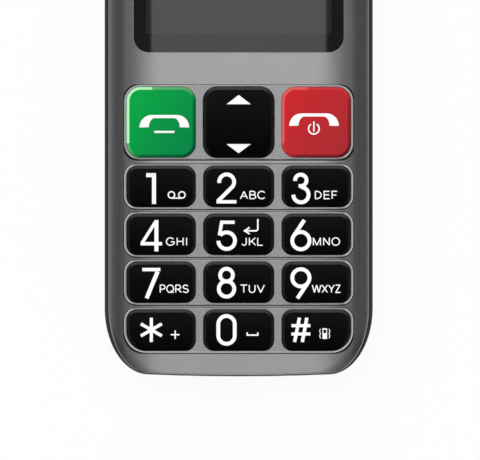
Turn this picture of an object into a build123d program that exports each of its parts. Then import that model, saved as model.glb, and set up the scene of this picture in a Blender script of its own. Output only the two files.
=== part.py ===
from build123d import *
import os

os.makedirs("parts", exist_ok=True)

# A big-button feature phone lying on its back, in millimetres.
# X runs across it, Y towards its top end and Z towards its face.
# The origin is the middle of the flat rear face.

# Whole body
body_width = 53.0
body_length = 122.0
corner_width = 8.7
corner_length = 13.1
end_bow = 0.37
rim_radius = 0.6
back_radius = 4.5
overrun = 2.0

# Front cover
cover_height = 3.1
cover_side_step = 0.8
cover_end_step = 0.3
flat_from_side = 11.0
shoulder_from_side = 4.0
shoulder_drop = 0.49
edge_drop = 1.9
cover_edge_radius = 0.35
cover_inner_inset = 2.1
roof_thickness = 1.5
roof_from_board = 2.9
roof_bevel = 1.0
lip_depth = 0.8
lip_thickness = 0.8
lip_root = 1.0
lip_gap = 0.1

# Keypad layout, measured on the key caps
keypad_from_side = 4.4
column_web = 1.55
middle_key_extra = 0.3
row_pitch = 9.45
number_rows = 4
bottom_row_from_end = 9.18
call_row_pitch = 12.65
key_length = 8.1
key_radius = 2.1
outer_key_radius = 3.9
call_key_length = 13.9
call_key_radius = 2.75

# Key bodies
key_stand = 0.75
key_crown = 0.14
key_bevel_width = 0.55
key_bevel_depth = 0.35
key_gap = 0.08
key_travel = 0.4
flange_reach = 0.45
flange_thickness = 0.5
flange_gap = 0.1
cover_window_gap = 0.25
nav_gap = 0.16
nav_tab_length = 2.4

# Raised frames round the rows of keys
frame_stand = 0.3
frame_thickness = 0.9
frame_side_rim = 0.45
frame_row_rim = 0.36
frame_edge = 0.12
frame_gap = 0.1

# Silicone mat and dome sheet under the keys
mat_gap = 0.1
mat_thickness = 0.4
mat_margin = 0.35
mat_skirt = 0.9
plunger_radius = 1.6
plunger_gap = 0.05
sheet_thickness = 0.12
dome_radius = 2.4
dome_flat_radius = 1.5
dome_height = 0.2
mat_screw_gap = 0.35

# Display
window_from_side = 5.75
window_from_end = 8.0
window_from_keys = 6.87
window_radius = 3.0
window_thickness = 0.8
window_recess = 0.06
window_gap = 0.08
window_ledge = 1.2
panel_side_inset = 1.25
panel_end_reach = 0.6
panel_thickness = 1.5
glass_side_margin = 2.25
glass_end_margin = 2.0
glass_thickness = 0.4
gasket_width = 1.8

# Earpiece
ear_from_end = 5.1
ear_slot_width = 10.0
ear_slot_height = 1.7
ear_mesh_margin = 0.6
ear_mesh_thickness = 0.25
ear_width = 12.0
ear_length = 4.0
ear_thickness = 2.3

# Rear housing
housing_wall = 1.5
seam_height = 3.2
seam_gap = 0.1
deck_gap = 0.15
deck_wall = 1.3
floor_thickness = 1.0
board_gap = 0.4
board_thickness = 0.9
board_inset = 2.0
fixed_back_wall = 1.5

# Battery, its bay and its sliding cover
cover_skin = 1.1
battery_from_side = 9.4
battery_thickness = 5.2
battery_radius = 1.0
battery_gap = 0.2
bay_gap = 0.1
bay_side_gap = 0.2
bay_wall = 1.2
bay_from_split = 2.6
bay_from_low_screws = 18.9
rail_inset = 2.5
rail_height = 2.3
rail_thickness = 0.5
rail_gap = 0.15
rail_bottom_from_end = 23.0
rail_top_from_split = 6.0
grip_width = 16.0
grip_groove = 0.9
grip_depth = 0.35
grip_pitch = 2.0
grip_count = 4
grip_from_split = 7.0

# Screws
middle_screw_from_side = 5.5
middle_screw_from_keys = 2.07
top_screw_from_side = 4.5
top_screw_from_split = 4.0
screw_radius = 0.7
screw_head_radius = 1.35
screw_head_height = 0.9
screw_head_depth = 0.5
screw_hole_gap = 0.12
screw_tip_gap = 0.4
boss_radius = 1.3
column_radius = 2.3

# Sockets and contacts at the ends
usb_width = 7.6
usb_length = 5.6
usb_height = 2.7
usb_wall = 0.35
usb_recess = 0.8
usb_depth = 4.4
usb_tongue_width = 3.8
usb_tongue_height = 0.6
usb_gap = 0.3
dock_x = 9.4
dock_width = 2.6
dock_height = 1.7
dock_length = 2.2
dock_recess = 0.2
dock_gap = 0.05
dock_height_above = 5.4
jack_from_side = 12.5
jack_bore_radius = 1.8
jack_nose_radius = 2.3
jack_width = 6.4
jack_length = 12.1
jack_bore_length = 12.0
jack_recess = 0.5
jack_gap = 0.1
torch_from_side = 12.5
torch_radius = 2.4
torch_flange = 0.5
torch_flange_length = 0.6
torch_recess = 0.4
torch_gap = 0.1
torch_dome = 0.25
led_width = 4.0
led_length = 2.4
led_gap = 0.1
mic_from_side = 12.5
mic_hole_radius = 0.5
mic_width = 4.0
mic_length = 3.0
mic_height = 1.2

# Rear key and loudspeaker
sos_from_split = 9.6
sos_from_speaker = 13.4
sos_radius = 6.0
sos_gap = 0.15
sos_recess = 0.35
sos_dish = 0.3
sos_flange = 0.8
sos_flange_thickness = 0.6
sos_flange_gap = 0.1
sos_stem_radius = 2.0
sos_travel = 0.4
sos_switch_width = 6.0
sos_switch_height = 2.0
sos_switch_gap = 0.1
speaker_from_end = 10.0
speaker_from_jack = 3.3
speaker_length = 11.0
speaker_thickness = 3.2
speaker_mesh_thickness = 0.25
grille_slots = 5
grille_pitch = 2.4
grille_slot_width = 1.1
grille_slot_length = 7.0

# Side keys
side_key_from_end = 20.0
side_key_height = 6.0
side_key_stand = 0.3
volume_length = 15.0
volume_thickness = 3.0
volume_gap = 0.18
volume_tab_length = 3.0
volume_tab_reach = 0.5
volume_tab_thickness = 0.6
volume_stud_length = 0.8
volume_stud_width = 1.6
volume_stud_from_middle = 5.0
volume_edge = 0.35
side_flange_gap = 0.15
slider_length = 5.5
slider_thickness = 2.6
slider_gap = 0.18
slider_travel = 3.0
slider_flange_reach = 0.6
slider_flange_overlap = 0.8
slider_flange_thickness = 0.6
slider_ridges = 3
slider_ridge_pitch = 1.4
slider_ridge_width = 0.5
slider_ridge_depth = 0.2
side_switch_gap = 0.4
side_switch_depth = 2.2
side_switch_length = 3.2
side_switch_height = 2.4

# Parts on the back of the main board
shield_from_side = 11.6
shield_width = 11.6
shield_length = 14.0
shield_height = 1.6
shield_radius = 1.0
holder_from_bay_side = 1.5
holder_from_bay_bottom = 7.8
holder_from_bay_top = 10.3
holder_web = 1.6
holder_row_web = 6.5
card_width = 14.0
card_extra_length = 1.0
holder_gap = 0.3
holder_wall = 0.2
holder_channel_side = 0.8
contact_block_from_bay_side = 4.3
contact_block_width = 8.0
contact_block_length = 2.3
contact_block_height = 4.4
contact_count = 3
contact_pitch = 2.4
contact_width = 1.0
contact_height = 1.6
contact_gap = 0.1
motor_from_screw = 1.48
motor_radius = 4.0
motor_thickness = 2.8
antenna_from_side = 7.4
antenna_from_usb = 2.7
antenna_length = 5.6
antenna_height = 3.0
antenna_from_end = 6.6

# Heights that follow from the sizes above
half_width = body_width / 2
half_length = body_length / 2
battery_bottom = cover_skin + battery_gap
bay_height = battery_bottom + battery_thickness + bay_gap
floor_height = bay_height + floor_thickness
board_bottom = floor_height + board_gap
board_top = board_bottom + board_thickness
sheet_top = board_top + sheet_thickness
roof_height = board_top + roof_from_board
face_height = roof_height + roof_thickness
rim_height = face_height - cover_height
key_top = face_height + key_stand
flange_top = roof_height - flange_gap
key_bottom = flange_top - flange_thickness
mat_top = key_bottom - key_travel - mat_gap
mat_bottom = mat_top - mat_thickness
frame_top = face_height + frame_stand
frame_bottom = frame_top - frame_thickness

# Places that follow from the sizes above
key_width = (body_width - 2 * keypad_from_side - 2 * column_web - middle_key_extra) / 3
middle_key_width = key_width + middle_key_extra
column_pitch = (key_width + middle_key_width) / 2 + column_web
bottom_row_y = bottom_row_from_end - half_length
call_row_y = bottom_row_y + (number_rows - 1) * row_pitch + call_row_pitch
call_row_edge = call_row_y + call_key_length / 2
window_low_y = call_row_edge + window_from_keys
window_top_y = half_length - window_from_end
window_y = (window_low_y + window_top_y) / 2
window_width = body_width - 2 * window_from_side
window_length = window_top_y - window_low_y
panel_width = window_width - 2 * panel_side_inset
panel_length = window_length + 2 * panel_end_reach
ear_y = half_length - ear_from_end
speaker_y = half_length - speaker_from_end
sos_y = speaker_y - sos_from_speaker
split_y = sos_y - sos_from_split
low_screw_x = (middle_key_width + column_web) / 2
low_screw_y = bottom_row_y + row_pitch / 2
middle_screw_x = half_width - middle_screw_from_side
middle_screw_y = call_row_edge + middle_screw_from_keys
top_screw_x = half_width - top_screw_from_side
top_screw_y = split_y - top_screw_from_split
bay_top_y = split_y - bay_from_split
bay_low_y = low_screw_y + bay_from_low_screws
bay_length = bay_top_y - bay_low_y
battery_y = (bay_top_y + bay_low_y) / 2
battery_length = bay_length - 2 * bay_side_gap
battery_width = body_width - 2 * battery_from_side
bay_width = battery_width + 2 * bay_side_gap
side_key_y = half_length - side_key_from_end
jack_x = half_width - jack_from_side
torch_x = half_width - torch_from_side
mic_x = half_width - mic_from_side
speaker_width = 2 * (jack_x - jack_width / 2 - speaker_from_jack)
shield_x = half_width - shield_from_side
motor_x = low_screw_x + column_radius + motor_from_screw + motor_radius
antenna_inner_x = usb_width / 2 + antenna_from_usb
antenna_outer_x = half_width - antenna_from_side
contact_block_x = bay_width / 2 - contact_block_from_bay_side - contact_block_width / 2
screw_places = [
    (side * x, y)
    for side in (-1, 1)
    for x, y in (
        (low_screw_x, low_screw_y),
        (middle_screw_x, middle_screw_y),
        (top_screw_x, top_screw_y),
    )
]


def body_outline(side_inset, end_inset):
    # Outline seen from the front: straight sides, elliptical corners, ends bowed a little
    side_x = half_width - side_inset
    end_y = half_length - end_inset
    corner_y = end_y - end_bow
    centre_x = half_width - corner_width
    centre_y = half_length - end_bow - corner_length
    with BuildSketch(mode=Mode.PRIVATE) as shape:
        with BuildLine():
            ThreePointArc((-centre_x, corner_y), (0, end_y), (centre_x, corner_y))
            EllipticalCenterArc(
                (centre_x, centre_y), side_x - centre_x, corner_y - centre_y, 0, arc_size=90
            )
            Line((side_x, centre_y), (side_x, 0))
            EllipticalCenterArc(
                (-centre_x, centre_y), side_x - centre_x, corner_y - centre_y, 90, arc_size=90
            )
            Line((-side_x, centre_y), (-side_x, 0))
            mirror(about=Plane.XZ)
        make_face()
    return shape.sketch


def body_form(inset, top):
    # The body's rounded form, drawn in by one amount on the back and all round
    with BuildPart() as form:
        with BuildSketch(Plane.XY.offset(inset)):
            add(body_outline(inset, inset))
        extrude(amount=top - inset)
        fillet(form.faces().sort_by(Axis.Z)[0].edges(), back_radius - inset)
    return form.part


def crown_form(lowered):
    # Everything under the crowned face of the front cover, lowered by one amount
    top = face_height - lowered
    edge_half_width = half_width - cover_side_step
    with BuildPart() as form:
        with BuildSketch(Plane.XZ):
            with BuildLine():
                middle = Line((0, top), (half_width - flat_from_side, top))
                shoulder_end = (half_width - shoulder_from_side, top - shoulder_drop)
                shoulder = TangentArc(middle @ 1, shoulder_end, tangent=middle % 1)
                flank_end = (edge_half_width, top - edge_drop)
                flank = TangentArc(shoulder @ 1, flank_end, tangent=shoulder % 1)
                side = Line(flank @ 1, (edge_half_width, rim_height))
                Line(side @ 1, (0, rim_height))
                mirror(about=Plane.YZ)
            make_face()
        extrude(amount=half_length, both=True)
    return form.part


def rounded_plate(width, length, bottom_left, bottom_right, top_right, top_left):
    # A rectangle with its own radius at each corner
    corners = [
        ((-width / 2, -length / 2, 0), bottom_left),
        ((width / 2, -length / 2, 0), bottom_right),
        ((width / 2, length / 2, 0), top_right),
        ((-width / 2, length / 2, 0), top_left),
    ]
    with BuildSketch(mode=Mode.PRIVATE) as plate:
        Rectangle(width, length)
        for corner, radius in corners:
            fillet(plate.vertices().sort_by_distance(corner)[0], radius)
    return plate.sketch


def key_plate(key, grow):
    # A key's outline, grown all round by one amount
    return rounded_plate(
        key["width"] + 2 * grow,
        key["length"] + 2 * grow,
        *[radius + grow for radius in key["radii"]],
    )


def make_row(names, y, length, radius, outer_radius):
    # Three keys side by side; the outer bottom corners may be rounder than the rest
    left_radii = [outer_radius, radius, radius, radius]
    right_radii = [radius, outer_radius, radius, radius]
    middle_radii = [radius] * len(left_radii)
    return [
        dict(name=names[0], x=-column_pitch, y=y, width=key_width, length=length, radii=left_radii),
        dict(name=names[1], x=0, y=y, width=middle_key_width, length=length, radii=middle_radii),
        dict(name=names[2], x=column_pitch, y=y, width=key_width, length=length, radii=right_radii),
    ]


# The rows of keys from the bottom end upwards
number_names = [
    ["key_star", "key_0", "key_hash"],
    ["key_7", "key_8", "key_9"],
    ["key_4", "key_5", "key_6"],
    ["key_1", "key_2", "key_3"],
]
key_rows = []
for index, names in enumerate(number_names):
    outer_radius = outer_key_radius if index == 0 else key_radius
    row_y = bottom_row_y + index * row_pitch
    key_rows.append(make_row(names, row_y, key_length, key_radius, outer_radius))
call_names = ["call_key", "nav_key", "end_key"]
key_rows.append(make_row(call_names, call_row_y, call_key_length, call_key_radius, call_key_radius))
all_keys = [key for row in key_rows for key in row]


# Raised frames, one round each row of three keys
frame_names = [
    "number_row_frame_4",
    "number_row_frame_3",
    "number_row_frame_2",
    "number_row_frame_1",
    "call_row_frame",
]


def frame_plate(row, grow):
    # Outline round a whole row of keys, following the outer corners
    width = 2 * column_pitch + key_width + 2 * (frame_side_rim + grow)
    length = row[0]["length"] + 2 * (frame_row_rim + grow)
    left = row[0]["radii"]
    right = row[2]["radii"]
    rim = frame_row_rim + grow
    return rounded_plate(width, length, left[0] + rim, right[1] + rim, right[2] + rim, left[3] + rim)


for name, row in zip(frame_names, key_rows):
    with BuildPart() as row_frame:
        with BuildSketch(Plane.XY.offset(frame_bottom)):
            with Locations((0, row[0]["y"])):
                add(frame_plate(row, 0))
        extrude(amount=frame_thickness)
        chamfer(row_frame.faces().sort_by(Axis.Z)[-1].edges(), frame_edge)
        with BuildSketch(Plane.XY.offset(frame_bottom)):
            for key in row:
                with Locations((key["x"], key["y"])):
                    add(key_plate(key, nav_gap if key["name"] == "nav_key" else key_gap))
        extrude(amount=frame_thickness, mode=Mode.SUBTRACT)
    row_frame.part.label = name
    export_step(row_frame.part, f"parts/{name}.step")


# Front cover
with BuildPart() as cover_cavity:
    with BuildSketch(Plane.XY.offset(rim_height - overrun)):
        add(body_outline(cover_inner_inset, cover_inner_inset))
    extrude(amount=roof_height - rim_height + overrun)
    chamfer(cover_cavity.faces().sort_by(Axis.Z)[-1].edges(), roof_bevel)

with BuildPart() as front_cover:
    add(crown_form(0))
    with BuildSketch(Plane.XY.offset(rim_height)):
        add(body_outline(cover_side_step, cover_end_step))
    extrude(amount=face_height, mode=Mode.INTERSECT)

    # Soften the border where the crowned face meets the walls
    crown_seams = front_cover.edges().filter_by(Axis.Y).filter_by(
        lambda edge: abs(edge.center().X) < half_width - cover_side_step - cover_edge_radius
    )
    border = front_cover.edges().filter_by(
        lambda edge: edge.bounding_box().min.Z > rim_height + cover_edge_radius
    )
    fillet(border - crown_seams, cover_edge_radius)
    add(cover_cavity.part, mode=Mode.SUBTRACT)

    # Lip that drops inside the rear housing
    with BuildSketch(Plane.XY.offset(rim_height - lip_depth)):
        lip_inset = housing_wall + lip_gap
        add(body_outline(lip_inset, lip_inset))
        add(body_outline(lip_inset + lip_thickness, lip_inset + lip_thickness), mode=Mode.SUBTRACT)
    extrude(amount=lip_depth + lip_root)

    # Pockets for the row frames, and the key windows under them
    for row in key_rows:
        with BuildSketch(Plane.XY.offset(frame_bottom)):
            with Locations((0, row[0]["y"])):
                add(frame_plate(row, frame_gap))
        extrude(amount=frame_thickness, mode=Mode.SUBTRACT)
    with BuildSketch(Plane.XY.offset(roof_height - overrun)):
        for key in all_keys:
            with Locations((key["x"], key["y"])):
                add(key_plate(key, cover_window_gap))
    extrude(amount=roof_thickness + overrun * 2, mode=Mode.SUBTRACT)

    # Seat and opening for the display window, and the earpiece slot
    window_bottom = face_height - window_recess - window_thickness
    with BuildSketch(Plane.XY.offset(window_bottom)):
        with Locations((0, window_y)):
            seat_width = window_width + 2 * window_gap
            seat_length = window_length + 2 * window_gap
            RectangleRounded(seat_width, seat_length, window_radius + window_gap)
    extrude(amount=face_height, mode=Mode.SUBTRACT)
    with BuildSketch(Plane.XY.offset(roof_height - overrun)):
        with Locations((0, window_y)):
            opening_width = window_width - 2 * window_ledge
            opening_length = window_length - 2 * window_ledge
            RectangleRounded(opening_width, opening_length, window_radius - window_ledge)
        with Locations((0, ear_y)):
            SlotOverall(ear_slot_width, ear_slot_height)
    extrude(amount=roof_thickness + overrun * 2, mode=Mode.SUBTRACT)

    # Screw bosses standing on the main board
    with BuildSketch(Plane.XY.offset(board_top)):
        with Locations(*screw_places):
            Circle(boss_radius)
    extrude(amount=roof_height - board_top)
    with BuildSketch(Plane.XY.offset(board_top)):
        with Locations(*screw_places):
            Circle(screw_radius + screw_hole_gap)
    extrude(amount=roof_height - board_top, mode=Mode.SUBTRACT)
front_cover.part.label = "front_cover"
export_step(front_cover.part, "parts/front_cover.step")


# Keys: a crowned and bevelled cap over a flange that the cover holds down
for key in all_keys:
    is_rocker = key["name"] == "nav_key"
    with BuildPart() as key_body:
        with BuildSketch(Plane.XY.offset(key_bottom)):
            with Locations((key["x"], key["y"])):
                add(key_plate(key, 0))
        extrude(amount=key_top - key_bottom)
        with BuildSketch(Plane.YZ.offset(key["x"])):
            with BuildLine():
                near = key["y"] - key["length"] / 2
                far = key["y"] + key["length"] / 2
                low = key_top - key_crown
                crown_arc = ThreePointArc((near, low), (key["y"], key_top), (far, low))
                Polyline(crown_arc @ 1, (far, key_bottom), (near, key_bottom), crown_arc @ 0)
            make_face()
        extrude(amount=key["width"], both=True, mode=Mode.INTERSECT)
        cap_face = key_body.faces().sort_by(Axis.Z)[-1]
        chamfer(cap_face.edges(), key_bevel_width, key_bevel_depth, reference=cap_face)
        with BuildSketch(Plane.XY.offset(key_bottom)):
            with Locations((key["x"], key["y"])):
                if is_rocker:
                    Rectangle(key["width"] + 2 * flange_reach, nav_tab_length)
                else:
                    add(key_plate(key, flange_reach))
        extrude(amount=flange_thickness)
    key_body.part.label = key["name"]
    export_step(key_body.part, f"parts/{key['name']}.step")


# Silicone mat: a sheet over the dome sheet with a plunger under each key
mat_half_width = column_pitch + key_width / 2 + mat_margin
mat_low_y = bottom_row_y - key_length / 2 - mat_margin
mat_high_y = call_row_edge + mat_margin
mat_y = (mat_low_y + mat_high_y) / 2
mat_length = mat_high_y - mat_low_y
key_places = [(key["x"], key["y"]) for key in all_keys]

with BuildPart() as keypad_mat:
    with BuildSketch(Plane.XY.offset(mat_bottom)):
        with Locations((0, mat_y)):
            RectangleRounded(2 * mat_half_width, mat_length, outer_key_radius)
    extrude(amount=mat_thickness)
    with BuildSketch(Plane.XY.offset(sheet_top)):
        with Locations((0, mat_y)):
            RectangleRounded(2 * mat_half_width, mat_length, outer_key_radius)
            inner_width = 2 * (mat_half_width - mat_skirt)
            inner_length = mat_length - 2 * mat_skirt
            RectangleRounded(inner_width, inner_length, outer_key_radius - mat_skirt, mode=Mode.SUBTRACT)
    extrude(amount=mat_bottom - sheet_top)
    with BuildSketch(Plane.XY.offset(sheet_top + dome_height + plunger_gap)):
        with Locations(*key_places):
            Circle(plunger_radius)
    extrude(amount=mat_bottom - sheet_top - dome_height - plunger_gap)
    with BuildSketch(Plane.XY.offset(sheet_top)):
        with Locations(*screw_places):
            Circle(boss_radius + mat_screw_gap)
    extrude(amount=mat_top - sheet_top, mode=Mode.SUBTRACT)
keypad_mat.part.label = "keypad_mat"
export_step(keypad_mat.part, "parts/keypad_mat.step")

with BuildPart() as dome_sheet:
    with BuildSketch(Plane.XY.offset(board_top)):
        with Locations((0, mat_y)):
            RectangleRounded(2 * mat_half_width, mat_length, outer_key_radius)
        with Locations(*screw_places):
            Circle(boss_radius + mat_screw_gap, mode=Mode.SUBTRACT)
    extrude(amount=sheet_thickness)
    with Locations(*[(x, y, sheet_top + dome_height / 2) for x, y in key_places]):
        Cone(dome_radius, dome_flat_radius, dome_height)
dome_sheet.part.label = "dome_sheet"
export_step(dome_sheet.part, "parts/dome_sheet.step")


# Display: window glued in the cover, gasket, and panel on the board
with BuildPart() as display_window:
    add(crown_form(window_recess))
    with BuildSketch(Plane.XY.offset(window_bottom)):
        with Locations((0, window_y)):
            RectangleRounded(window_width, window_length, window_radius)
    extrude(amount=face_height, mode=Mode.INTERSECT)
display_window.part.label = "display_window"
export_step(display_window.part, "parts/display_window.step")

with BuildPart() as display_panel:
    with BuildSketch(Plane.XY.offset(board_top)):
        with Locations((0, window_y)):
            Rectangle(panel_width, panel_length)
    extrude(amount=panel_thickness)
    with BuildSketch(Plane.XY.offset(board_top + panel_thickness)):
        with Locations((0, window_y)):
            Rectangle(panel_width - 2 * glass_side_margin, panel_length - 2 * glass_end_margin)
    extrude(amount=glass_thickness)
display_panel.part.label = "display_panel"
export_step(display_panel.part, "parts/display_panel.step")

with BuildPart() as display_gasket:
    with BuildSketch(Plane.XY.offset(board_top + panel_thickness)):
        with Locations((0, window_y)):
            Rectangle(panel_width, panel_length)
            gasket_inner_width = panel_width - 2 * gasket_width
            gasket_inner_length = panel_length - 2 * gasket_width
            Rectangle(gasket_inner_width, gasket_inner_length, mode=Mode.SUBTRACT)
    extrude(amount=roof_height - board_top - panel_thickness)
display_gasket.part.label = "display_gasket"
export_step(display_gasket.part, "parts/display_gasket.step")


# Earpiece and the mesh in front of it
with BuildPart() as earpiece_mesh:
    with BuildSketch(Plane.XY.offset(roof_height - ear_mesh_thickness)):
        with Locations((0, ear_y)):
            SlotOverall(ear_slot_width + 2 * ear_mesh_margin, ear_slot_height + 2 * ear_mesh_margin)
    extrude(amount=ear_mesh_thickness)
earpiece_mesh.part.label = "earpiece_mesh"
export_step(earpiece_mesh.part, "parts/earpiece_mesh.step")

with BuildPart() as earpiece:
    ear_bottom = roof_height - ear_mesh_thickness - ear_thickness
    with BuildSketch(Plane.XY.offset(ear_bottom)):
        with Locations((0, ear_y)):
            RectangleRounded(ear_width, ear_length, ear_mesh_margin)
    extrude(amount=ear_thickness)
earpiece.part.label = "earpiece"
export_step(earpiece.part, "parts/earpiece.step")


# Solid body under the front cover: rounded back, softened rim
with BuildPart() as whole_back:
    add(body_form(0, rim_height))
    fillet(whole_back.faces().sort_by(Axis.Z)[-1].edges(), rim_radius)

# Room between the deck and the board, round the battery bay
deck_inset = cover_skin + deck_gap
low_inset = deck_inset + deck_wall
with BuildPart() as low_room:
    add(body_form(low_inset, rim_height))
    with BuildSketch():
        low_room_top = split_y - bay_wall
        with Locations((0, (low_room_top - half_length) / 2)):
            Rectangle(body_width, low_room_top + half_length)
    extrude(amount=floor_height, mode=Mode.INTERSECT)
    with BuildSketch():
        with Locations((0, battery_y)):
            Rectangle(bay_width + 2 * bay_wall, bay_length + 2 * bay_wall)
    extrude(amount=rim_height, mode=Mode.SUBTRACT)

# Room behind the fixed part of the back
with BuildPart() as top_room:
    add(body_form(fixed_back_wall, rim_height))
    with BuildSketch():
        top_room_low = split_y + bay_wall
        with Locations((0, (top_room_low + half_length) / 2)):
            Rectangle(body_width, half_length - top_room_low)
    extrude(amount=rim_height, mode=Mode.INTERSECT)

# Places that the housing's openings share with the parts seated in them
usb_y = usb_recess - half_length
usb_z = board_bottom - usb_height / 2
dock_z = dock_height_above + dock_height / 2
dock_y = dock_recess - half_length + end_bow / 2
jack_z = board_bottom - jack_nose_radius
jack_y = half_length - jack_recess
torch_z = board_bottom - board_gap - torch_radius - torch_flange
torch_y = half_length - torch_recess
lens_inner_y = half_length - housing_wall - end_bow - torch_gap
mic_z = board_bottom - mic_height / 2
contact_y = bay_top_y
sim_width = (bay_width - 2 * holder_from_bay_side - holder_web) / 2
holder_room = bay_length - holder_from_bay_bottom - holder_from_bay_top - holder_row_web
sim_length = (holder_room - card_extra_length) / 2
card_length = holder_room - sim_length
sim_y = bay_low_y + holder_from_bay_bottom + sim_length / 2
sim_places = [(side * (sim_width + holder_web) / 2, sim_y) for side in (-1, 1)]
card_place = (0, bay_top_y - holder_from_bay_top - card_length / 2)
slider_slot_length = slider_length + slider_travel + 2 * slider_gap
slider_y = side_key_y - slider_travel / 2
grille_places = [
    ((index - (grille_slots - 1) / 2) * grille_pitch, speaker_y) for index in range(grille_slots)
]

with BuildPart() as rear_housing:
    add(whole_back.part)

    # Step down to the deck that the battery cover slides over
    with BuildSketch():
        with Locations((0, (split_y - half_length - overrun) / 2)):
            Rectangle(body_width + 2 * overrun, split_y + half_length + overrun)
    extrude(amount=seam_height, mode=Mode.SUBTRACT)
    add(body_form(deck_inset, rim_height - rim_radius))

    # Rooms inside
    with BuildSketch(Plane.XY.offset(floor_height)):
        add(body_outline(housing_wall, housing_wall))
    extrude(amount=rim_height, mode=Mode.SUBTRACT)
    add(low_room.part, mode=Mode.SUBTRACT)
    add(top_room.part, mode=Mode.SUBTRACT)
    with BuildSketch():
        with Locations((0, battery_y)):
            RectangleRounded(bay_width, bay_length, battery_radius + bay_side_gap)
    extrude(amount=bay_height, mode=Mode.SUBTRACT)

    # Windows in the bay floor for the card holders and the battery contacts
    with BuildSketch(Plane.XY.offset(bay_height)):
        with Locations(*sim_places):
            Rectangle(sim_width + 2 * holder_gap, sim_length + 2 * holder_gap)
        with Locations(card_place):
            Rectangle(card_width + 2 * holder_gap, card_length + 2 * holder_gap)
    extrude(amount=floor_thickness, mode=Mode.SUBTRACT)
    block_room_width = contact_block_width + 2 * contact_gap
    block_room_length = contact_block_length + contact_gap + bay_side_gap
    with BuildSketch(Plane.XY.offset(board_bottom - contact_block_height - contact_gap)):
        with Locations((contact_block_x, contact_y + block_room_length / 2 - bay_side_gap)):
            Rectangle(block_room_width, block_room_length)
    extrude(amount=contact_block_height, mode=Mode.SUBTRACT)

    # Screw columns from the deck to the board
    deck_bottom = deck_inset
    with BuildSketch(Plane.XY.offset(deck_bottom + deck_wall / 2)):
        with Locations(*screw_places):
            Circle(column_radius)
    extrude(amount=board_bottom - deck_bottom - deck_wall / 2)
    with BuildSketch():
        with Locations(*screw_places):
            Circle(screw_radius + screw_hole_gap)
    extrude(amount=rim_height, mode=Mode.SUBTRACT)
    with BuildSketch():
        with Locations(*screw_places):
            Circle(screw_head_radius + screw_hole_gap)
    extrude(amount=deck_bottom + screw_head_depth + screw_head_height, mode=Mode.SUBTRACT)

    # Grooves along the deck for the battery cover's rails
    groove_x = half_width - rail_inset - rail_gap
    for side in (-1, 1):
        with BuildSketch(Plane.XZ.offset(-split_y)):
            with Locations((side * (groove_x + rail_inset / 2), rail_height + rail_thickness / 2)):
                Rectangle(rail_inset, rail_thickness + 2 * rail_gap)
        extrude(amount=split_y + half_length, mode=Mode.SUBTRACT)

    # Sockets and contacts through the bottom end
    with BuildSketch(Plane.XZ.offset(half_length + overrun)):
        with Locations((0, usb_z)):
            RectangleRounded(usb_width + 2 * usb_gap, usb_height + 2 * usb_gap, usb_gap * 2)
        with Locations((-dock_x, dock_z), (dock_x, dock_z)):
            Rectangle(dock_width + 2 * dock_gap, dock_height + 2 * dock_gap)
        with Locations((-mic_x, mic_z)):
            Circle(mic_hole_radius)
    extrude(amount=-(overrun + low_inset + end_bow), mode=Mode.SUBTRACT)

    # Headphone socket and torch through the top end
    with BuildSketch(Plane.XZ.offset(-half_length - overrun)):
        with Locations((jack_x, jack_z)):
            Circle(jack_nose_radius + jack_gap)
        with Locations((-torch_x, torch_z)):
            Circle(torch_radius + torch_gap)
    extrude(amount=overrun + housing_wall + end_bow, mode=Mode.SUBTRACT)
    with BuildSketch(Plane.XZ.offset(-lens_inner_y - torch_gap)):
        with Locations((-torch_x, torch_z)):
            Circle(torch_radius + torch_flange + torch_gap)
    extrude(amount=torch_gap + torch_flange_length + led_gap + led_length, mode=Mode.SUBTRACT)

    # Slots for the side keys
    slot_depth = overrun + housing_wall + side_key_stand
    with BuildSketch(Plane.YZ.offset(-half_width - overrun)):
        with Locations((side_key_y, side_key_height)):
            Rectangle(volume_length + 2 * volume_gap, volume_thickness + 2 * volume_gap)
    extrude(amount=slot_depth, mode=Mode.SUBTRACT)
    with BuildSketch(Plane.YZ.offset(half_width + overrun)):
        with Locations((side_key_y, side_key_height)):
            Rectangle(slider_slot_length, slider_thickness + 2 * slider_gap)
    extrude(amount=-slot_depth, mode=Mode.SUBTRACT)

    # Rear key hole and loudspeaker grille
    with BuildSketch():
        with Locations((0, sos_y)):
            Circle(sos_radius + sos_gap)
        with Locations(*grille_places):
            SlotOverall(grille_slot_length, grille_slot_width, rotation=90)
    extrude(amount=fixed_back_wall, mode=Mode.SUBTRACT)
rear_housing.part.label = "rear_housing"
export_step(rear_housing.part, "parts/rear_housing.step")


# Battery cover: a shallow shell with a rail inside each long side
with BuildPart() as battery_cover:
    add(whole_back.part)
    with BuildSketch():
        cover_top = split_y - seam_gap
        with Locations((0, (cover_top - half_length - overrun) / 2)):
            Rectangle(body_width + 2 * overrun, cover_top + half_length + overrun)
    extrude(amount=seam_height - seam_gap, mode=Mode.INTERSECT)
    add(body_form(cover_skin, rim_height), mode=Mode.SUBTRACT)
    rail_low_y = rail_bottom_from_end - half_length
    rail_top_y = split_y - rail_top_from_split
    rail_x = half_width - rail_inset + cover_skin / 2
    rail_y = (rail_low_y + rail_top_y) / 2
    for side in (-1, 1):
        with BuildSketch(Plane.XY.offset(rail_height)):
            with Locations((side * rail_x, rail_y)):
                Rectangle(cover_skin, rail_top_y - rail_low_y)
        extrude(amount=rail_thickness)
    grip_y = split_y - grip_from_split
    with BuildSketch():
        with Locations(*[(0, grip_y - index * grip_pitch) for index in range(grip_count)]):
            SlotOverall(grip_width, grip_groove)
    extrude(amount=grip_depth, mode=Mode.SUBTRACT)
battery_cover.part.label = "battery_cover"
export_step(battery_cover.part, "parts/battery_cover.step")


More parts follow.
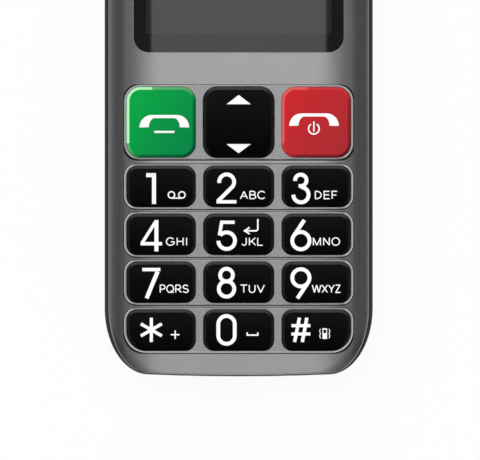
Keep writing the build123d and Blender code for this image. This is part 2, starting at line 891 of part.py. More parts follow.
with BuildPart() as battery:
    with BuildSketch(Plane.XY.offset(battery_bottom)):
        with Locations((0, battery_y)):
            RectangleRounded(battery_width, battery_length, battery_radius)
    extrude(amount=battery_thickness)
battery.part.label = "battery"
export_step(battery.part, "parts/battery.step")


# Screws: heads under the battery cover, tips in the front cover's bosses
with BuildPart() as screws:
    head_bottom = deck_inset + screw_head_depth
    with BuildSketch(Plane.XY.offset(head_bottom)):
        with Locations(*screw_places):
            Circle(screw_head_radius)
    extrude(amount=screw_head_height)
    with BuildSketch(Plane.XY.offset(head_bottom)):
        with Locations(*screw_places):
            Circle(screw_radius)
    extrude(amount=roof_height - screw_tip_gap - head_bottom)
    with BuildSketch(Plane.XY.offset(head_bottom)):
        with Locations(*screw_places):
            Rectangle(screw_head_radius, screw_radius / 2)
            Rectangle(screw_radius / 2, screw_head_radius)
    extrude(amount=screw_head_height / 2, mode=Mode.SUBTRACT)
screws.part.label = "screws"
export_step(screws.part, "parts/screws.step")


# Main board
with BuildPart() as main_board:
    with BuildSketch(Plane.XY.offset(board_bottom)):
        add(body_outline(board_inset, board_inset))
        with Locations(*screw_places):
            Circle(screw_radius + screw_hole_gap, mode=Mode.SUBTRACT)
    extrude(amount=board_thickness)
main_board.part.label = "main_board"
export_step(main_board.part, "parts/main_board.step")

with BuildPart() as usb_socket:
    with BuildSketch(Plane.XZ.offset(-usb_y)):
        with Locations((0, usb_z)):
            RectangleRounded(usb_width, usb_height, usb_wall * 2)
    extrude(amount=-usb_length)
    with BuildSketch(Plane.XZ.offset(-usb_y)):
        with Locations((0, usb_z)):
            RectangleRounded(usb_width - 2 * usb_wall, usb_height - 2 * usb_wall, usb_wall)
            Rectangle(usb_tongue_width, usb_tongue_height, mode=Mode.SUBTRACT)
    extrude(amount=-usb_depth, mode=Mode.SUBTRACT)
usb_socket.part.label = "usb_socket"
export_step(usb_socket.part, "parts/usb_socket.step")

with BuildPart() as dock_contacts:
    with BuildSketch(Plane.XZ.offset(-dock_y)):
        with Locations((-dock_x, dock_z), (dock_x, dock_z)):
            Rectangle(dock_width, dock_height)
    extrude(amount=-dock_length)
dock_contacts.part.label = "dock_contacts"
export_step(dock_contacts.part, "parts/dock_contacts.step")

with BuildPart() as headphone_socket:
    nose_length = housing_wall + end_bow + jack_gap
    with BuildSketch(Plane.XZ.offset(-jack_y)):
        with Locations((jack_x, jack_z)):
            Circle(jack_nose_radius)
    extrude(amount=nose_length)
    with BuildSketch(Plane.XZ.offset(-jack_y + nose_length)):
        with Locations((jack_x, jack_z)):
            Rectangle(jack_width, 2 * jack_nose_radius)
    extrude(amount=jack_length - nose_length + jack_recess)
    with BuildSketch(Plane.XZ.offset(-jack_y)):
        with Locations((jack_x, jack_z)):
            Circle(jack_bore_radius)
    extrude(amount=jack_bore_length, mode=Mode.SUBTRACT)
headphone_socket.part.label = "headphone_socket"
export_step(headphone_socket.part, "parts/headphone_socket.step")

with BuildPart() as torch_lens:
    with BuildSketch(Plane.XZ.offset(-lens_inner_y)):
        with Locations((-torch_x, torch_z)):
            Circle(torch_radius + torch_flange)
    extrude(amount=torch_flange_length)
    with BuildSketch(Plane.XZ.offset(-lens_inner_y)):
        with Locations((-torch_x, torch_z)):
            Circle(torch_radius)
    extrude(amount=-(torch_y - end_bow - lens_inner_y))
    fillet(torch_lens.faces().sort_by(Axis.Y)[-1].edges(), torch_dome)
torch_lens.part.label = "torch_lens"
export_step(torch_lens.part, "parts/torch_lens.step")

with BuildPart() as torch_led:
    led_y = lens_inner_y - torch_flange_length - led_gap - led_length / 2
    led_bottom = torch_z - led_width / 2
    with BuildSketch(Plane.XY.offset(led_bottom)):
        with Locations((-torch_x, led_y)):
            Rectangle(led_width, led_length)
    extrude(amount=board_bottom - led_bottom)
torch_led.part.label = "torch_led"
export_step(torch_led.part, "parts/torch_led.step")

with BuildPart() as microphone:
    mic_y = low_inset + mic_length / 2 + end_bow + dock_gap - half_length
    with BuildSketch(Plane.XY.offset(board_bottom - mic_height)):
        with Locations((-mic_x, mic_y)):
            Rectangle(mic_width, mic_length)
    extrude(amount=mic_height)
microphone.part.label = "microphone"
export_step(microphone.part, "parts/microphone.step")

with BuildPart() as antenna:
    antenna_x = (antenna_inner_x + antenna_outer_x) / 2
    with BuildSketch(Plane.XY.offset(board_bottom - antenna_height)):
        with Locations((antenna_x, antenna_from_end - half_length)):
            Rectangle(antenna_outer_x - antenna_inner_x, antenna_length)
    extrude(amount=antenna_height)
antenna.part.label = "antenna"
export_step(antenna.part, "parts/antenna.step")

with BuildPart() as vibration_motor:
    with BuildSketch(Plane.XY.offset(board_bottom - motor_thickness)):
        with Locations((-motor_x, low_screw_y)):
            Circle(motor_radius)
    extrude(amount=motor_thickness)
vibration_motor.part.label = "vibration_motor"
export_step(vibration_motor.part, "parts/vibration_motor.step")


def holder(width, length, places):
    # A folded metal cage open at one end, for a card that slides in under it
    height = board_bottom - bay_height - holder_wall
    with BuildPart() as cage:
        with BuildSketch(Plane.XY.offset(board_bottom - height)):
            with Locations(*places):
                Rectangle(width, length)
        extrude(amount=height)
        with BuildSketch(Plane.XY.offset(board_bottom - height + holder_wall)):
            with Locations(*[(x, y - holder_channel_side) for x, y in places]):
                Rectangle(width - 2 * holder_channel_side, length)
        extrude(amount=height - 2 * holder_wall, mode=Mode.SUBTRACT)
    return cage.part


with BuildPart() as sim_holders:
    add(holder(sim_width, sim_length, sim_places))
sim_holders.part.label = "sim_holders"
export_step(sim_holders.part, "parts/sim_holders.step")

with BuildPart() as card_holder:
    add(holder(card_width, card_length, [card_place]))
card_holder.part.label = "card_holder"
export_step(card_holder.part, "parts/card_holder.step")

with BuildPart() as battery_contacts:
    block_bottom = board_bottom - contact_block_height
    block_y = contact_y + contact_block_length / 2
    with BuildSketch(Plane.XY.offset(block_bottom)):
        with Locations((contact_block_x, block_y)):
            Rectangle(contact_block_width, contact_block_length)
    extrude(amount=contact_block_height)
    with BuildSketch(Plane.XZ.offset(-contact_y)):
        with Locations((contact_block_x, block_bottom + contact_height)):
            with GridLocations(contact_pitch, contact_height, contact_count, 1):
                Rectangle(contact_width, contact_height)
    extrude(amount=bay_side_gap - contact_gap / 2)
battery_contacts.part.label = "battery_contacts"
export_step(battery_contacts.part, "parts/battery_contacts.step")


# Back of the board behind the display: rear key switch, loudspeaker, shields
with BuildPart() as sos_switch:
    with BuildSketch(Plane.XY.offset(board_bottom - sos_switch_height)):
        with Locations((0, sos_y)):
            Rectangle(sos_switch_width, sos_switch_width)
    extrude(amount=sos_switch_height)
sos_switch.part.label = "sos_switch"
export_step(sos_switch.part, "parts/sos_switch.step")

with BuildPart() as sos_key:
    flange_bottom = fixed_back_wall + sos_flange_gap
    stem_top = board_bottom - sos_switch_height - sos_switch_gap - sos_travel
    with BuildSketch(Plane.XY.offset(sos_recess)):
        with Locations((0, sos_y)):
            Circle(sos_radius)
    extrude(amount=flange_bottom - sos_recess)
    with BuildSketch(Plane.XY.offset(flange_bottom)):
        with Locations((0, sos_y)):
            Circle(sos_radius + sos_flange)
    extrude(amount=sos_flange_thickness)
    with BuildSketch(Plane.XY.offset(flange_bottom)):
        with Locations((0, sos_y)):
            Circle(sos_stem_radius)
    extrude(amount=stem_top - flange_bottom)
    chamfer(sos_key.faces().sort_by(Axis.Z)[0].edges(), sos_dish)
sos_key.part.label = "sos_key"
export_step(sos_key.part, "parts/sos_key.step")

with BuildPart() as speaker_mesh:
    mesh_width = (grille_slots - 1) * grille_pitch + 2 * grille_slot_width
    with BuildSketch(Plane.XY.offset(fixed_back_wall)):
        with Locations((0, speaker_y)):
            Rectangle(mesh_width, grille_slot_length + grille_slot_width)
    extrude(amount=speaker_mesh_thickness)
speaker_mesh.part.label = "speaker_mesh"
export_step(speaker_mesh.part, "parts/speaker_mesh.step")

with BuildPart() as loudspeaker:
    with BuildSketch(Plane.XY.offset(fixed_back_wall + speaker_mesh_thickness)):
        with Locations((0, speaker_y)):
            RectangleRounded(speaker_width, speaker_length, battery_radius)
    extrude(amount=speaker_thickness)
loudspeaker.part.label = "loudspeaker"
export_step(loudspeaker.part, "parts/loudspeaker.step")


# Side keys and their switches
wall_inner_x = half_width - housing_wall
side_key_outer_x = half_width + side_key_stand

with BuildPart() as volume_key:
    with BuildSketch(Plane.YZ.offset(-side_key_outer_x)):
        with Locations((side_key_y, side_key_height)):
            Rectangle(volume_length, volume_thickness)
    extrude(amount=side_key_outer_x - wall_inner_x + side_flange_gap)
    fillet(volume_key.faces().sort_by(Axis.X)[0].edges(), volume_edge)
    tab_x = -wall_inner_x + side_flange_gap
    with BuildSketch(Plane.YZ.offset(tab_x)):
        with Locations((side_key_y, side_key_height)):
            Rectangle(volume_tab_length, volume_thickness + 2 * volume_tab_reach)
    extrude(amount=volume_tab_thickness)
    with BuildSketch(Plane.YZ.offset(tab_x)):
        for side in (-1, 1):
            with Locations((side_key_y + side * volume_stud_from_middle, side_key_height)):
                Rectangle(volume_stud_width, volume_stud_width)
    extrude(amount=volume_stud_length)
volume_key.part.label = "volume_key"
export_step(volume_key.part, "parts/volume_key.step")

with BuildPart() as torch_switch:
    with BuildSketch(Plane.YZ.offset(side_key_outer_x)):
        with Locations((slider_y, side_key_height)):
            Rectangle(slider_length, slider_thickness)
    extrude(amount=-(side_key_outer_x - wall_inner_x + side_flange_gap))
    with BuildSketch(Plane.YZ.offset(side_key_outer_x)):
        with Locations((slider_y, side_key_height)):
            with GridLocations(slider_ridge_pitch, slider_thickness, slider_ridges, 1):
                Rectangle(slider_ridge_width, slider_thickness)
    extrude(amount=-slider_ridge_depth, mode=Mode.SUBTRACT)
    slider_flange_length = slider_length + 2 * (slider_travel + slider_flange_overlap)
    with BuildSketch(Plane.YZ.offset(wall_inner_x - side_flange_gap)):
        with Locations((slider_y, side_key_height)):
            Rectangle(slider_flange_length, slider_thickness + 2 * slider_flange_reach)
    extrude(amount=-slider_flange_thickness)
torch_switch.part.label = "torch_switch"
export_step(torch_switch.part, "parts/torch_switch.step")

with BuildPart() as side_switches:
    stud_tip_x = wall_inner_x - side_flange_gap - volume_stud_length
    switch_x = stud_tip_x - side_switch_gap - side_switch_depth / 2
    with BuildSketch(Plane.XY.offset(board_bottom - side_switch_height)):
        for side in (-1, 1):
            with Locations((-switch_x, side_key_y + side * volume_stud_from_middle)):
                Rectangle(side_switch_depth, side_switch_length)
        with Locations((switch_x, side_key_y)):
            Rectangle(side_switch_depth, slider_slot_length)
    extrude(amount=side_switch_height)
side_switches.part.label = "side_switches"
export_step(side_switches.part, "parts/side_switches.step")

# Shield cans either side of the rear key
with BuildPart() as shield_cans:
    with BuildSketch(Plane.XY.offset(board_bottom - shield_height)):
        with Locations((-shield_x, sos_y), (shield_x, sos_y)):
            RectangleRounded(shield_width, shield_length, shield_radius)
    extrude(amount=shield_height)
shield_cans.part.label = "shield_cans"
export_step(shield_cans.part, "parts/shield_cans.step")
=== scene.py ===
import math

import bmesh
import bpy
from mathutils import Matrix, Vector


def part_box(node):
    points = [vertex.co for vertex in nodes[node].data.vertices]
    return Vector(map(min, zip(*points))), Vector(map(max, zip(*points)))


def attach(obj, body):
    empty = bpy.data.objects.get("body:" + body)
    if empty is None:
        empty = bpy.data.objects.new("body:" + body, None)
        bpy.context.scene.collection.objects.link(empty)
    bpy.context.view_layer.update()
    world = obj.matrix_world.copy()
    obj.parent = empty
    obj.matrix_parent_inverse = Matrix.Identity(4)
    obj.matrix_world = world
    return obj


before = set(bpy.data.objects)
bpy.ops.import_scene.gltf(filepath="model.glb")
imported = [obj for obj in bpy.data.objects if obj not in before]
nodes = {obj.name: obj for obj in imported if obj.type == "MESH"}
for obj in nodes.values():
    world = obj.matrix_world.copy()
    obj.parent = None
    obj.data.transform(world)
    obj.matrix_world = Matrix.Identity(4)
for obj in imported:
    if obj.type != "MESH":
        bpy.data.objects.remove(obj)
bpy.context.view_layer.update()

mm = 0.001
print("frame loaded:", len(nodes), "nodes")


# Helpers for materials

def joinNodes(tree, source, output, target, socket):
    tree.links.new(source.outputs[output], target.inputs[socket])


def addPlace(tree, kind="Object"):
    # the X, Y and Z of a point on the surface, as sockets
    coords = tree.nodes.new("ShaderNodeTexCoord")
    parts = tree.nodes.new("ShaderNodeSeparateXYZ")
    joinNodes(tree, coords, kind, parts, "Vector")
    return parts.outputs


def addNoise(tree, coords, size, detail):
    # size is the width of one spot, in metres
    noise = tree.nodes.new("ShaderNodeTexNoise")
    noise.inputs["Scale"].default_value = 1 / size
    noise.inputs["Detail"].default_value = detail
    joinNodes(tree, coords, "Object", noise, "Vector")
    return noise.outputs["Fac"]


def spreadNoise(tree, noise, low, high):
    # maps the middle of the noise, where it mostly lies, onto low to high
    mostlyOver = 0.3
    mostlyUnder = 0.7
    span = tree.nodes.new("ShaderNodeMapRange")
    span.inputs["From Min"].default_value = mostlyOver
    span.inputs["From Max"].default_value = mostlyUnder
    span.inputs["To Min"].default_value = low
    span.inputs["To Max"].default_value = high
    tree.links.new(noise, span.inputs["Value"])
    return span.outputs["Result"]


def addMath(tree, operation, first, second=None):
    # first and second are numbers or sockets
    node = tree.nodes.new("ShaderNodeMath")
    node.operation = operation
    for socket, value in zip(node.inputs, (first, second)):
        if isinstance(value, (int, float)):
            socket.default_value = value
        elif value is not None:
            tree.links.new(value, socket)
    return node.outputs[0]


def addStep(tree, value, low, high):
    # rises smoothly from 0 at low to 1 at high
    step = tree.nodes.new("ShaderNodeMapRange")
    step.interpolation_type = "SMOOTHSTEP"
    step.inputs["From Min"].default_value = low
    step.inputs["From Max"].default_value = high
    tree.links.new(value, step.inputs["Value"])
    return step.outputs["Result"]


def addMix(tree, share, under, over):
    # under and over are colours or sockets; inputs 6 and 7 and output 2 are the node's colours
    mix = tree.nodes.new("ShaderNodeMix")
    mix.data_type = "RGBA"
    tree.links.new(share, mix.inputs[0])
    for socket, value in ((mix.inputs[6], under), (mix.inputs[7], over)):
        if isinstance(value, tuple):
            socket.default_value = (*value, 1)
        else:
            tree.links.new(value, socket)
    return mix.outputs[2]


def mixInto(tree, share, colour):
    # paints a colour over what the surface has, where share is 1
    baseColour = tree.nodes["Principled BSDF"].inputs["Base Color"]
    painted = addMix(tree, share, baseColour.links[0].from_socket, colour)
    tree.links.new(painted, baseColour)


def addShare(tree, start, end, repeats=False):
    # runs from 0 at start to 1 at end, both points in X and Y; it may start again at every end
    reach = Vector((end[0] - start[0], end[1] - start[1], 0))
    along = reach / reach.length_squared
    coords = tree.nodes.new("ShaderNodeTexCoord")
    dot = tree.nodes.new("ShaderNodeVectorMath")
    dot.operation = "DOT_PRODUCT"
    joinNodes(tree, coords, "Object", dot, 0)
    dot.inputs[1].default_value = along
    share = addMath(tree, "SUBTRACT", dot.outputs["Value"], start[0] * along.x + start[1] * along.y)
    return addMath(tree, "FRACT", share) if repeats else share


def paintSlopeLight(material, direction, colour, share, start=0.2, end=0.5, stop=None):
    # slopes that lean the given way in X and Y take painted light or shade in another colour; past stop,
    # where given, none
    tree = material.node_tree
    geometry = tree.nodes.new("ShaderNodeNewGeometry")
    dot = tree.nodes.new("ShaderNodeVectorMath")
    dot.operation = "DOT_PRODUCT"
    joinNodes(tree, geometry, "Normal", dot, 0)
    dot.inputs[1].default_value = Vector((*direction, 0)).normalized()
    facing = addStep(tree, dot.outputs["Value"], start, end)
    if stop is not None:
        steep = addMath(tree, "GREATER_THAN", dot.outputs["Value"], stop)
        facing = addMath(tree, "MULTIPLY", facing, addMath(tree, "SUBTRACT", 1.0, steep))
    mixInto(tree, addMath(tree, "MULTIPLY", facing, share), colour)


def addDots(tree, pitch, low):
    # rows of round spots, 1 at their middles and low between them
    place = addPlace(tree)
    waves = []
    for axis in ("X", "Y"):
        turns = addMath(tree, "MULTIPLY", place[axis], math.tau / pitch)
        wave = addMath(tree, "MULTIPLY", addMath(tree, "SINE", turns), (1 - low) / 2)
        waves.append(addMath(tree, "ADD", wave, (1 + low) / 2))
    return addMath(tree, "MULTIPLY", waves[0], waves[1])


# What a finish has where its own look doesn't say otherwise
usualFinish = {
    "metallic": 0.0,
    "ior": 1.45,
    "coat": 0.0,
    "coatRoughness": 0.1,
    "spotSize": 8 * mm,  # width of the patches of shade
    "spotDetail": 2.0,
    "roughnessSpread": 0.04,  # how far the gloss goes up and down from its middle
    "grainSize": 0.2 * mm,
    "grainDetail": 3.0,
    "grainStrength": 0.2,
    "grainDepth": 0.01 * mm,
}


def makeFinish(name, ownLook):
    # moulded, painted or plated surface with mottled colour, uneven gloss and a fine grain
    look = {**usualFinish, **ownLook}
    material = bpy.data.materials.new(name)
    material.use_nodes = True
    tree = material.node_tree
    shader = tree.nodes["Principled BSDF"]
    shader.inputs["Metallic"].default_value = look["metallic"]
    shader.inputs["IOR"].default_value = look["ior"]
    shader.inputs["Coat Weight"].default_value = look["coat"]
    shader.inputs["Coat Roughness"].default_value = look["coatRoughness"]
    coords = tree.nodes.new("ShaderNodeTexCoord")
    spots = spreadNoise(tree, addNoise(tree, coords, look["spotSize"], look["spotDetail"]), 0.0, 1.0)
    tree.links.new(addMix(tree, spots, look["colour"], look["shade"]), shader.inputs["Base Color"])
    grain = addNoise(tree, coords, look["grainSize"], look["grainDetail"])
    smoothest = look["roughness"] - look["roughnessSpread"]
    roughest = look["roughness"] + look["roughnessSpread"]
    tree.links.new(spreadNoise(tree, grain, smoothest, roughest), shader.inputs["Roughness"])
    bump = tree.nodes.new("ShaderNodeBump")
    bump.inputs["Strength"].default_value = look["grainStrength"]
    bump.inputs["Distance"].default_value = look["grainDepth"]
    tree.links.new(grain, bump.inputs["Height"])
    joinNodes(tree, bump, "Normal", shader, "Normal")
    return material


def dress(material, *names):
    for name in names:
        for slot in nodes[name].material_slots:
            slot.material = material


# Camera: straight over the phone, with the framing of the photograph

view = {
    "lens": 600.0,  # a long lens, because the photograph shows no perspective
    "sensor": 36.0,
    "frameWidth": 94.78 * mm,  # what the picture's width covers on the phone
    "focusHeight": 11.5 * mm,  # where that width is measured
    "centreX": 0.26 * mm,
    "centreY": -32.07 * mm,
    "nearClip": 10 * mm,
}
cameraData = bpy.data.cameras.new("camera")
cameraData.lens = view["lens"]
cameraData.sensor_width = view["sensor"]
cameraData.clip_start = view["nearClip"]
camera = bpy.data.objects.new("camera", cameraData)
cameraRise = view["lens"] / view["sensor"] * view["frameWidth"]
camera.location = (view["centreX"], view["centreY"], view["focusHeight"] + cameraRise)
bpy.context.scene.collection.objects.link(camera)
bpy.context.scene.camera = camera


# Floor, lamps and world

studio = {
    "skyLevel": 0.085,  # over the object; the room gets lighter towards its walls
    "wallLevel": 0.43,
    "wallTop": 0.36,  # this and the next are heights of a direction, 1 being straight up
    "skyStart": 0.54,
    "floorReach": 60.0,
    "floorColour": (0.86, 0.86, 0.86),
    "floorGlow": 0.92,  # share of plain white that a direct look at the floor adds
    "floorDrop": 0.05 * mm,
}


def makeFloorFinish():
    # shows nearly white to the camera, in gloss and through glass, and keeps the phone's shadow
    material = bpy.data.materials.new("pale_floor")
    material.use_nodes = True
    tree = material.node_tree
    tree.nodes.remove(tree.nodes["Principled BSDF"])
    output = tree.nodes["Material Output"]
    paint = tree.nodes.new("ShaderNodeBsdfDiffuse")
    paint.inputs["Color"].default_value = (*studio["floorColour"], 1)
    glow = tree.nodes.new("ShaderNodeEmission")
    glow.inputs["Strength"].default_value = 1.0
    rays = tree.nodes.new("ShaderNodeLightPath").outputs
    seen = addMath(tree, "MAXIMUM", rays["Is Camera Ray"], rays["Is Glossy Ray"])
    seen = addMath(tree, "MAXIMUM", seen, rays["Is Transmission Ray"])
    mix = tree.nodes.new("ShaderNodeMixShader")
    tree.links.new(addMath(tree, "MULTIPLY", seen, studio["floorGlow"]), mix.inputs[0])
    joinNodes(tree, paint, "BSDF", mix, 1)
    joinNodes(tree, glow, "Emission", mix, 2)
    joinNodes(tree, mix, "Shader", output, "Surface")
    return material


def makeFloor():
    mesh = bmesh.new()
    bmesh.ops.create_grid(mesh, x_segments=1, y_segments=1, size=studio["floorReach"])
    bmesh.ops.translate(mesh, verts=mesh.verts, vec=(0, 0, -studio["floorDrop"]))
    data = bpy.data.meshes.new("floor")
    mesh.to_mesh(data)
    mesh.free()
    data.materials.append(makeFloorFinish())
    floor = bpy.data.objects.new("floor", data)
    bpy.context.scene.collection.objects.link(floor)


# Place, width and depth are in metres. The level is the brightness of the lamp's face, 1 being
# plain white. The two overhead ones make the pale middle of the cover. No gloss shows the fill.
softboxes = {
    "overhead": {"place": (0.0, 0.55, 1.5), "width": 0.30, "depth": 1.14, "level": 1.9},
    "overhead_low": {"place": (0.0, -0.45, 1.5), "width": 0.30, "depth": 0.96, "level": 0.95},
    "upper_left": {"place": (-1.0, 0.8, 0.6), "width": 0.5, "depth": 0.4, "level": 1.3},
    "left": {"place": (-1.3, 0.1, 0.6), "width": 0.5, "depth": 0.12, "level": 1.0},
    "lower_right": {"place": (1.0, -0.8, 0.6), "width": 0.6, "depth": 0.4, "level": 1.0},
    "top_strip": {"place": (0.3, 1.4, 0.6), "width": 1.2, "depth": 0.26, "level": 1.3},
    "front": {"place": (0.1, -1.2, 0.6), "width": 1.2, "depth": 0.3, "level": 1.0},
    "horizon_top": {"place": (0.0, 1.5, 0.12), "width": 3.0, "depth": 0.2, "level": 0.8},
    "horizon_front": {"place": (0.0, -1.5, 0.12), "width": 3.0, "depth": 0.2, "level": 0.8},
    "fill": {"place": (-0.3, 0.3, 2.0), "width": 3.0, "depth": 3.0, "level": 1.88, "mirrored": False},
}


def makeSoftbox(name, box):
    lamp = bpy.data.lights.new(name, "AREA")
    lamp.shape = "RECTANGLE"
    lamp.size = box["width"]
    lamp.size_y = box["depth"]
    lamp.energy = box["level"] * math.pi * box["width"] * box["depth"]  # watts for that level
    holder = bpy.data.objects.new(name, lamp)
    place = Vector(box["place"])
    holder.location = place
    holder.rotation_euler = place.to_track_quat("Z", "Y").to_euler()
    holder.visible_camera = False
    holder.visible_glossy = box.get("mirrored", True)
    bpy.context.scene.collection.objects.link(holder)


def makeWorld():
    world = bpy.data.worlds.new("studio")
    world.use_nodes = True
    tree = world.node_tree
    background = tree.nodes["Background"]
    background.inputs["Color"].default_value = (1, 1, 1, 1)
    rise = addPlace(tree, "Generated")["Z"]
    up = addStep(tree, rise, studio["wallTop"], studio["skyStart"])
    fall = addMath(tree, "MULTIPLY", up, studio["skyLevel"] - studio["wallLevel"])
    level = addMath(tree, "ADD", fall, studio["wallLevel"])
    tree.links.new(level, background.inputs["Strength"])
    bpy.context.scene.world = world


bpy.context.scene.view_settings.view_transform = "Standard"
makeFloor()
for name, box in softboxes.items():
    makeSoftbox(name, box)
makeWorld()
print("studio ready")


# Casings

def addOutline(tree, x, y, low, high, halfWidth, radius):
    # distance outside a rounded box from low to high along Y
    pastSide = addMath(tree, "SUBTRACT", x, halfWidth - radius)
    fromMiddle = addMath(tree, "ABSOLUTE", addMath(tree, "SUBTRACT", y, (low + high) / 2))
    pastEnd = addMath(tree, "SUBTRACT", fromMiddle, (high - low) / 2 - radius)
    squareX = addMath(tree, "POWER", addMath(tree, "MAXIMUM", pastSide, 0.0), 2.0)
    squareY = addMath(tree, "POWER", addMath(tree, "MAXIMUM", pastEnd, 0.0), 2.0)
    fromCorner = addMath(tree, "POWER", addMath(tree, "ADD", squareX, squareY), 0.5)
    return addMath(tree, "SUBTRACT", fromCorner, radius)


# Painted shadow round the row frames and painted shade in their pockets
frameShade = {
    "colour": (0.07, 0.07, 0.07),
    "width": 0.14 * mm,
    "blur": 0.14 * mm,
    "shift": 0.07 * mm,  # the painted shadow lines lie a little towards the bottom end, where the frames' shadows fall
    "corner": 2.5 * mm,
    "lowCorner": 4.3 * mm,
    "overlapShare": 0.5,  # of the corner, by which the round bottom of the lowest frame stops short
    "pocketFloor": 12.85 * mm,  # under this height the cover is painted dark inside the frames, as shade in the pockets
}
rowFrames = ["number_row_frame_%d" % row for row in (1, 2, 3, 4)]


def paintFrameShade(material):
    # painted shadow: a dark line round every row frame, and painted shade on the cover in the pockets
    # under them
    tree = material.node_tree
    place = addPlace(tree)
    x = addMath(tree, "ABSOLUTE", place["X"])
    y = addMath(tree, "ADD", place["Y"], frameShade["shift"])
    corner = frameShade["corner"]
    nearest = None
    for name in ["call_row_frame"] + rowFrames:
        low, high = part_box(name)
        spans = [(low.y, high.y, corner)]
        if name == rowFrames[-1]:
            # the lowest frame has rounder corners at its bottom, so two outlines make its painted shadow
            # line
            shortTop = high.y - corner * frameShade["overlapShare"]
            spans = [(low.y + corner, high.y, corner), (low.y, shortTop, frameShade["lowCorner"])]
        for bottom, top, radius in spans:
            distance = addOutline(tree, x, y, bottom, top, high.x, min(radius, (top - bottom) / 2))
            nearest = distance if nearest is None else addMath(tree, "MINIMUM", nearest, distance)
    clear = addStep(tree, nearest, frameShade["width"], frameShade["width"] + frameShade["blur"])
    mixInto(tree, addMath(tree, "SUBTRACT", 1.0, clear), frameShade["colour"])
    pocketFloor = frameShade["pocketFloor"]
    raised = addStep(tree, place["Z"], pocketFloor - frameShade["blur"], pocketFloor)
    inside = addMath(tree, "LESS_THAN", nearest, 0.0)
    sunk = addMath(tree, "MULTIPLY", addMath(tree, "SUBTRACT", 1.0, raised), inside)
    mixInto(tree, sunk, frameShade["colour"])


# Painted shade in the corners of the cover
cornerShade = {
    "colour": (0.16, 0.16, 0.16),
    "radius": 16 * mm,  # rounder than the cover's own corners
    "depth": 1.6 * mm,
    "share": 0.54,
}


def paintCornerShade(material):
    # painted shade: the paint gets darker outside a rounder outline, so only in the corners of the cover
    low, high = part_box("front_cover")
    tree = material.node_tree
    place = addPlace(tree)
    x = addMath(tree, "ABSOLUTE", place["X"])
    distance = addOutline(tree, x, place["Y"], low.y, high.y, high.x, cornerShade["radius"])
    outside = addStep(tree, distance, 0.0, cornerShade["depth"])
    mixInto(tree, addMath(tree, "MULTIPLY", outside, cornerShade["share"]), cornerShade["colour"])


silverPaint = {
    "colour": (0.52, 0.52, 0.52),
    "shade": (0.50, 0.50, 0.50),
    "spotSize": 6 * mm,
    "metallic": 1.0,
    "roughness": 0.31,
    "roughnessSpread": 0.03,
    "grainSize": 0.09 * mm,
    "grainStrength": 0.12,
}
silver = makeFinish("silver_paint", silverPaint)
# painted shadow and shade round the row frames, then painted shade in the corners of the cover
paintFrameShade(silver)
paintCornerShade(silver)
cornerEdgeShade = {"colour": (0.06, 0.06, 0.06), "start": 0.46, "end": 0.66}
for corner in ((-1, -1), (1, -1), (-1, 1), (1, 1)):
    # painted shade makes the bright edge line, a reflection, fade out round the corners
    paintSlopeLight(silver, corner, cornerEdgeShade["colour"], 1.0, cornerEdgeShade["start"], cornerEdgeShade["end"])
sideShade = {"colour": (0.27, 0.27, 0.27), "start": 0.36, "end": 0.52}
for side in ((-1, 0), (1, 0)):
    # painted shade where the long sides turn down, added to the real darkening of their reflection
    paintSlopeLight(silver, side, sideShade["colour"], 1.0, sideShade["start"], sideShade["end"])
dress(silver, "front_cover")

frameSilver = {
    "colour": (0.41, 0.41, 0.41),
    "shade": (0.395, 0.395, 0.395),
    "metallic": 1.0,
    "roughness": 0.28,
    "grainSize": 0.08 * mm,
    "grainStrength": 0.08,
}
# Painted highlights on the frames' rims
frameRimHighlights = {"colour": (0.95, 0.95, 0.95), "share": 0.8, "callShare": 0.35}


def dressFrames(finishName, share, *names):
    # painted highlights on the rims, fainter on the call row's frame
    highlightedSilver = makeFinish(finishName, frameSilver)
    for direction in ((-1, 0), (1, 0), (0, 1), (0, -1)):
        paintSlopeLight(highlightedSilver, direction, frameRimHighlights["colour"], share)
    dress(highlightedSilver, *names)


dressFrames("call_frame_silver", frameRimHighlights["callShare"], "call_row_frame")
dressFrames("frame_silver", frameRimHighlights["share"], *rowFrames)

charcoalShell = {
    "colour": (0.023, 0.023, 0.025),
    "shade": (0.020, 0.020, 0.022),
    "roughness": 0.45,
    "roughnessSpread": 0.08,
    "grainSize": 0.25 * mm,
    "grainStrength": 0.35,
}
dress(makeFinish("charcoal_shell", charcoalShell), "rear_housing")

coverShell = {
    "colour": (0.026, 0.026, 0.028),
    "shade": (0.023, 0.023, 0.025),
    "roughness": 0.52,
    "roughnessSpread": 0.1,
    "grainSize": 0.3 * mm,
    "grainStrength": 0.6,
    "grainDepth": 0.02 * mm,
}
dress(makeFinish("cover_shell", coverShell), "battery_cover")
print("casings dressed")


# Keys

paintedKeyLight = {
    # Painted light: Low is the painted shade where a key is darkest, Edge and Side painted highlights on
    # its bevels, Dark painted shade on its steep sides
    "blackLow": (0.0004, 0.0004, 0.0004),
    "greenLow": (0.001, 0.19, 0.056),
    "redLow": (0.34, 0.024, 0.03),
    "greenEdge": (0.50, 0.95, 0.55),
    "redEdge": (0.80, 0.12, 0.12),
    "greenDark": (0.003, 0.08, 0.035),
    "redDark": (0.13, 0.012, 0.015),
    "blackEdge": (0.055, 0.055, 0.055),
    "blackSide": (0.014, 0.014, 0.014),
    "edgeShare": 0.8,  # how much of the black a bevel's painted highlight covers
    "startShare": 0.75,  # of the key's height, where the painted shade on the green and the red starts
}


def paintShadeDown(material, low, high, repeats=False):
    # painted shade: the black keys get darker from their top edge down, and again in every row if it
    # repeats
    tree = material.node_tree
    share = addShare(tree, (low.x, high.y), (low.x, low.y), repeats)
    mixInto(tree, share, paintedKeyLight["blackLow"])


def paintLowerRightShade(material, nodeName, lowColour):
    # painted shade, darker towards the lower right corner
    low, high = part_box(nodeName)
    tree = material.node_tree
    startY = low.y + (high.y - low.y) * paintedKeyLight["startShare"]
    mixInto(tree, addShare(tree, (low.x, startY), (high.x, low.y)), lowColour)


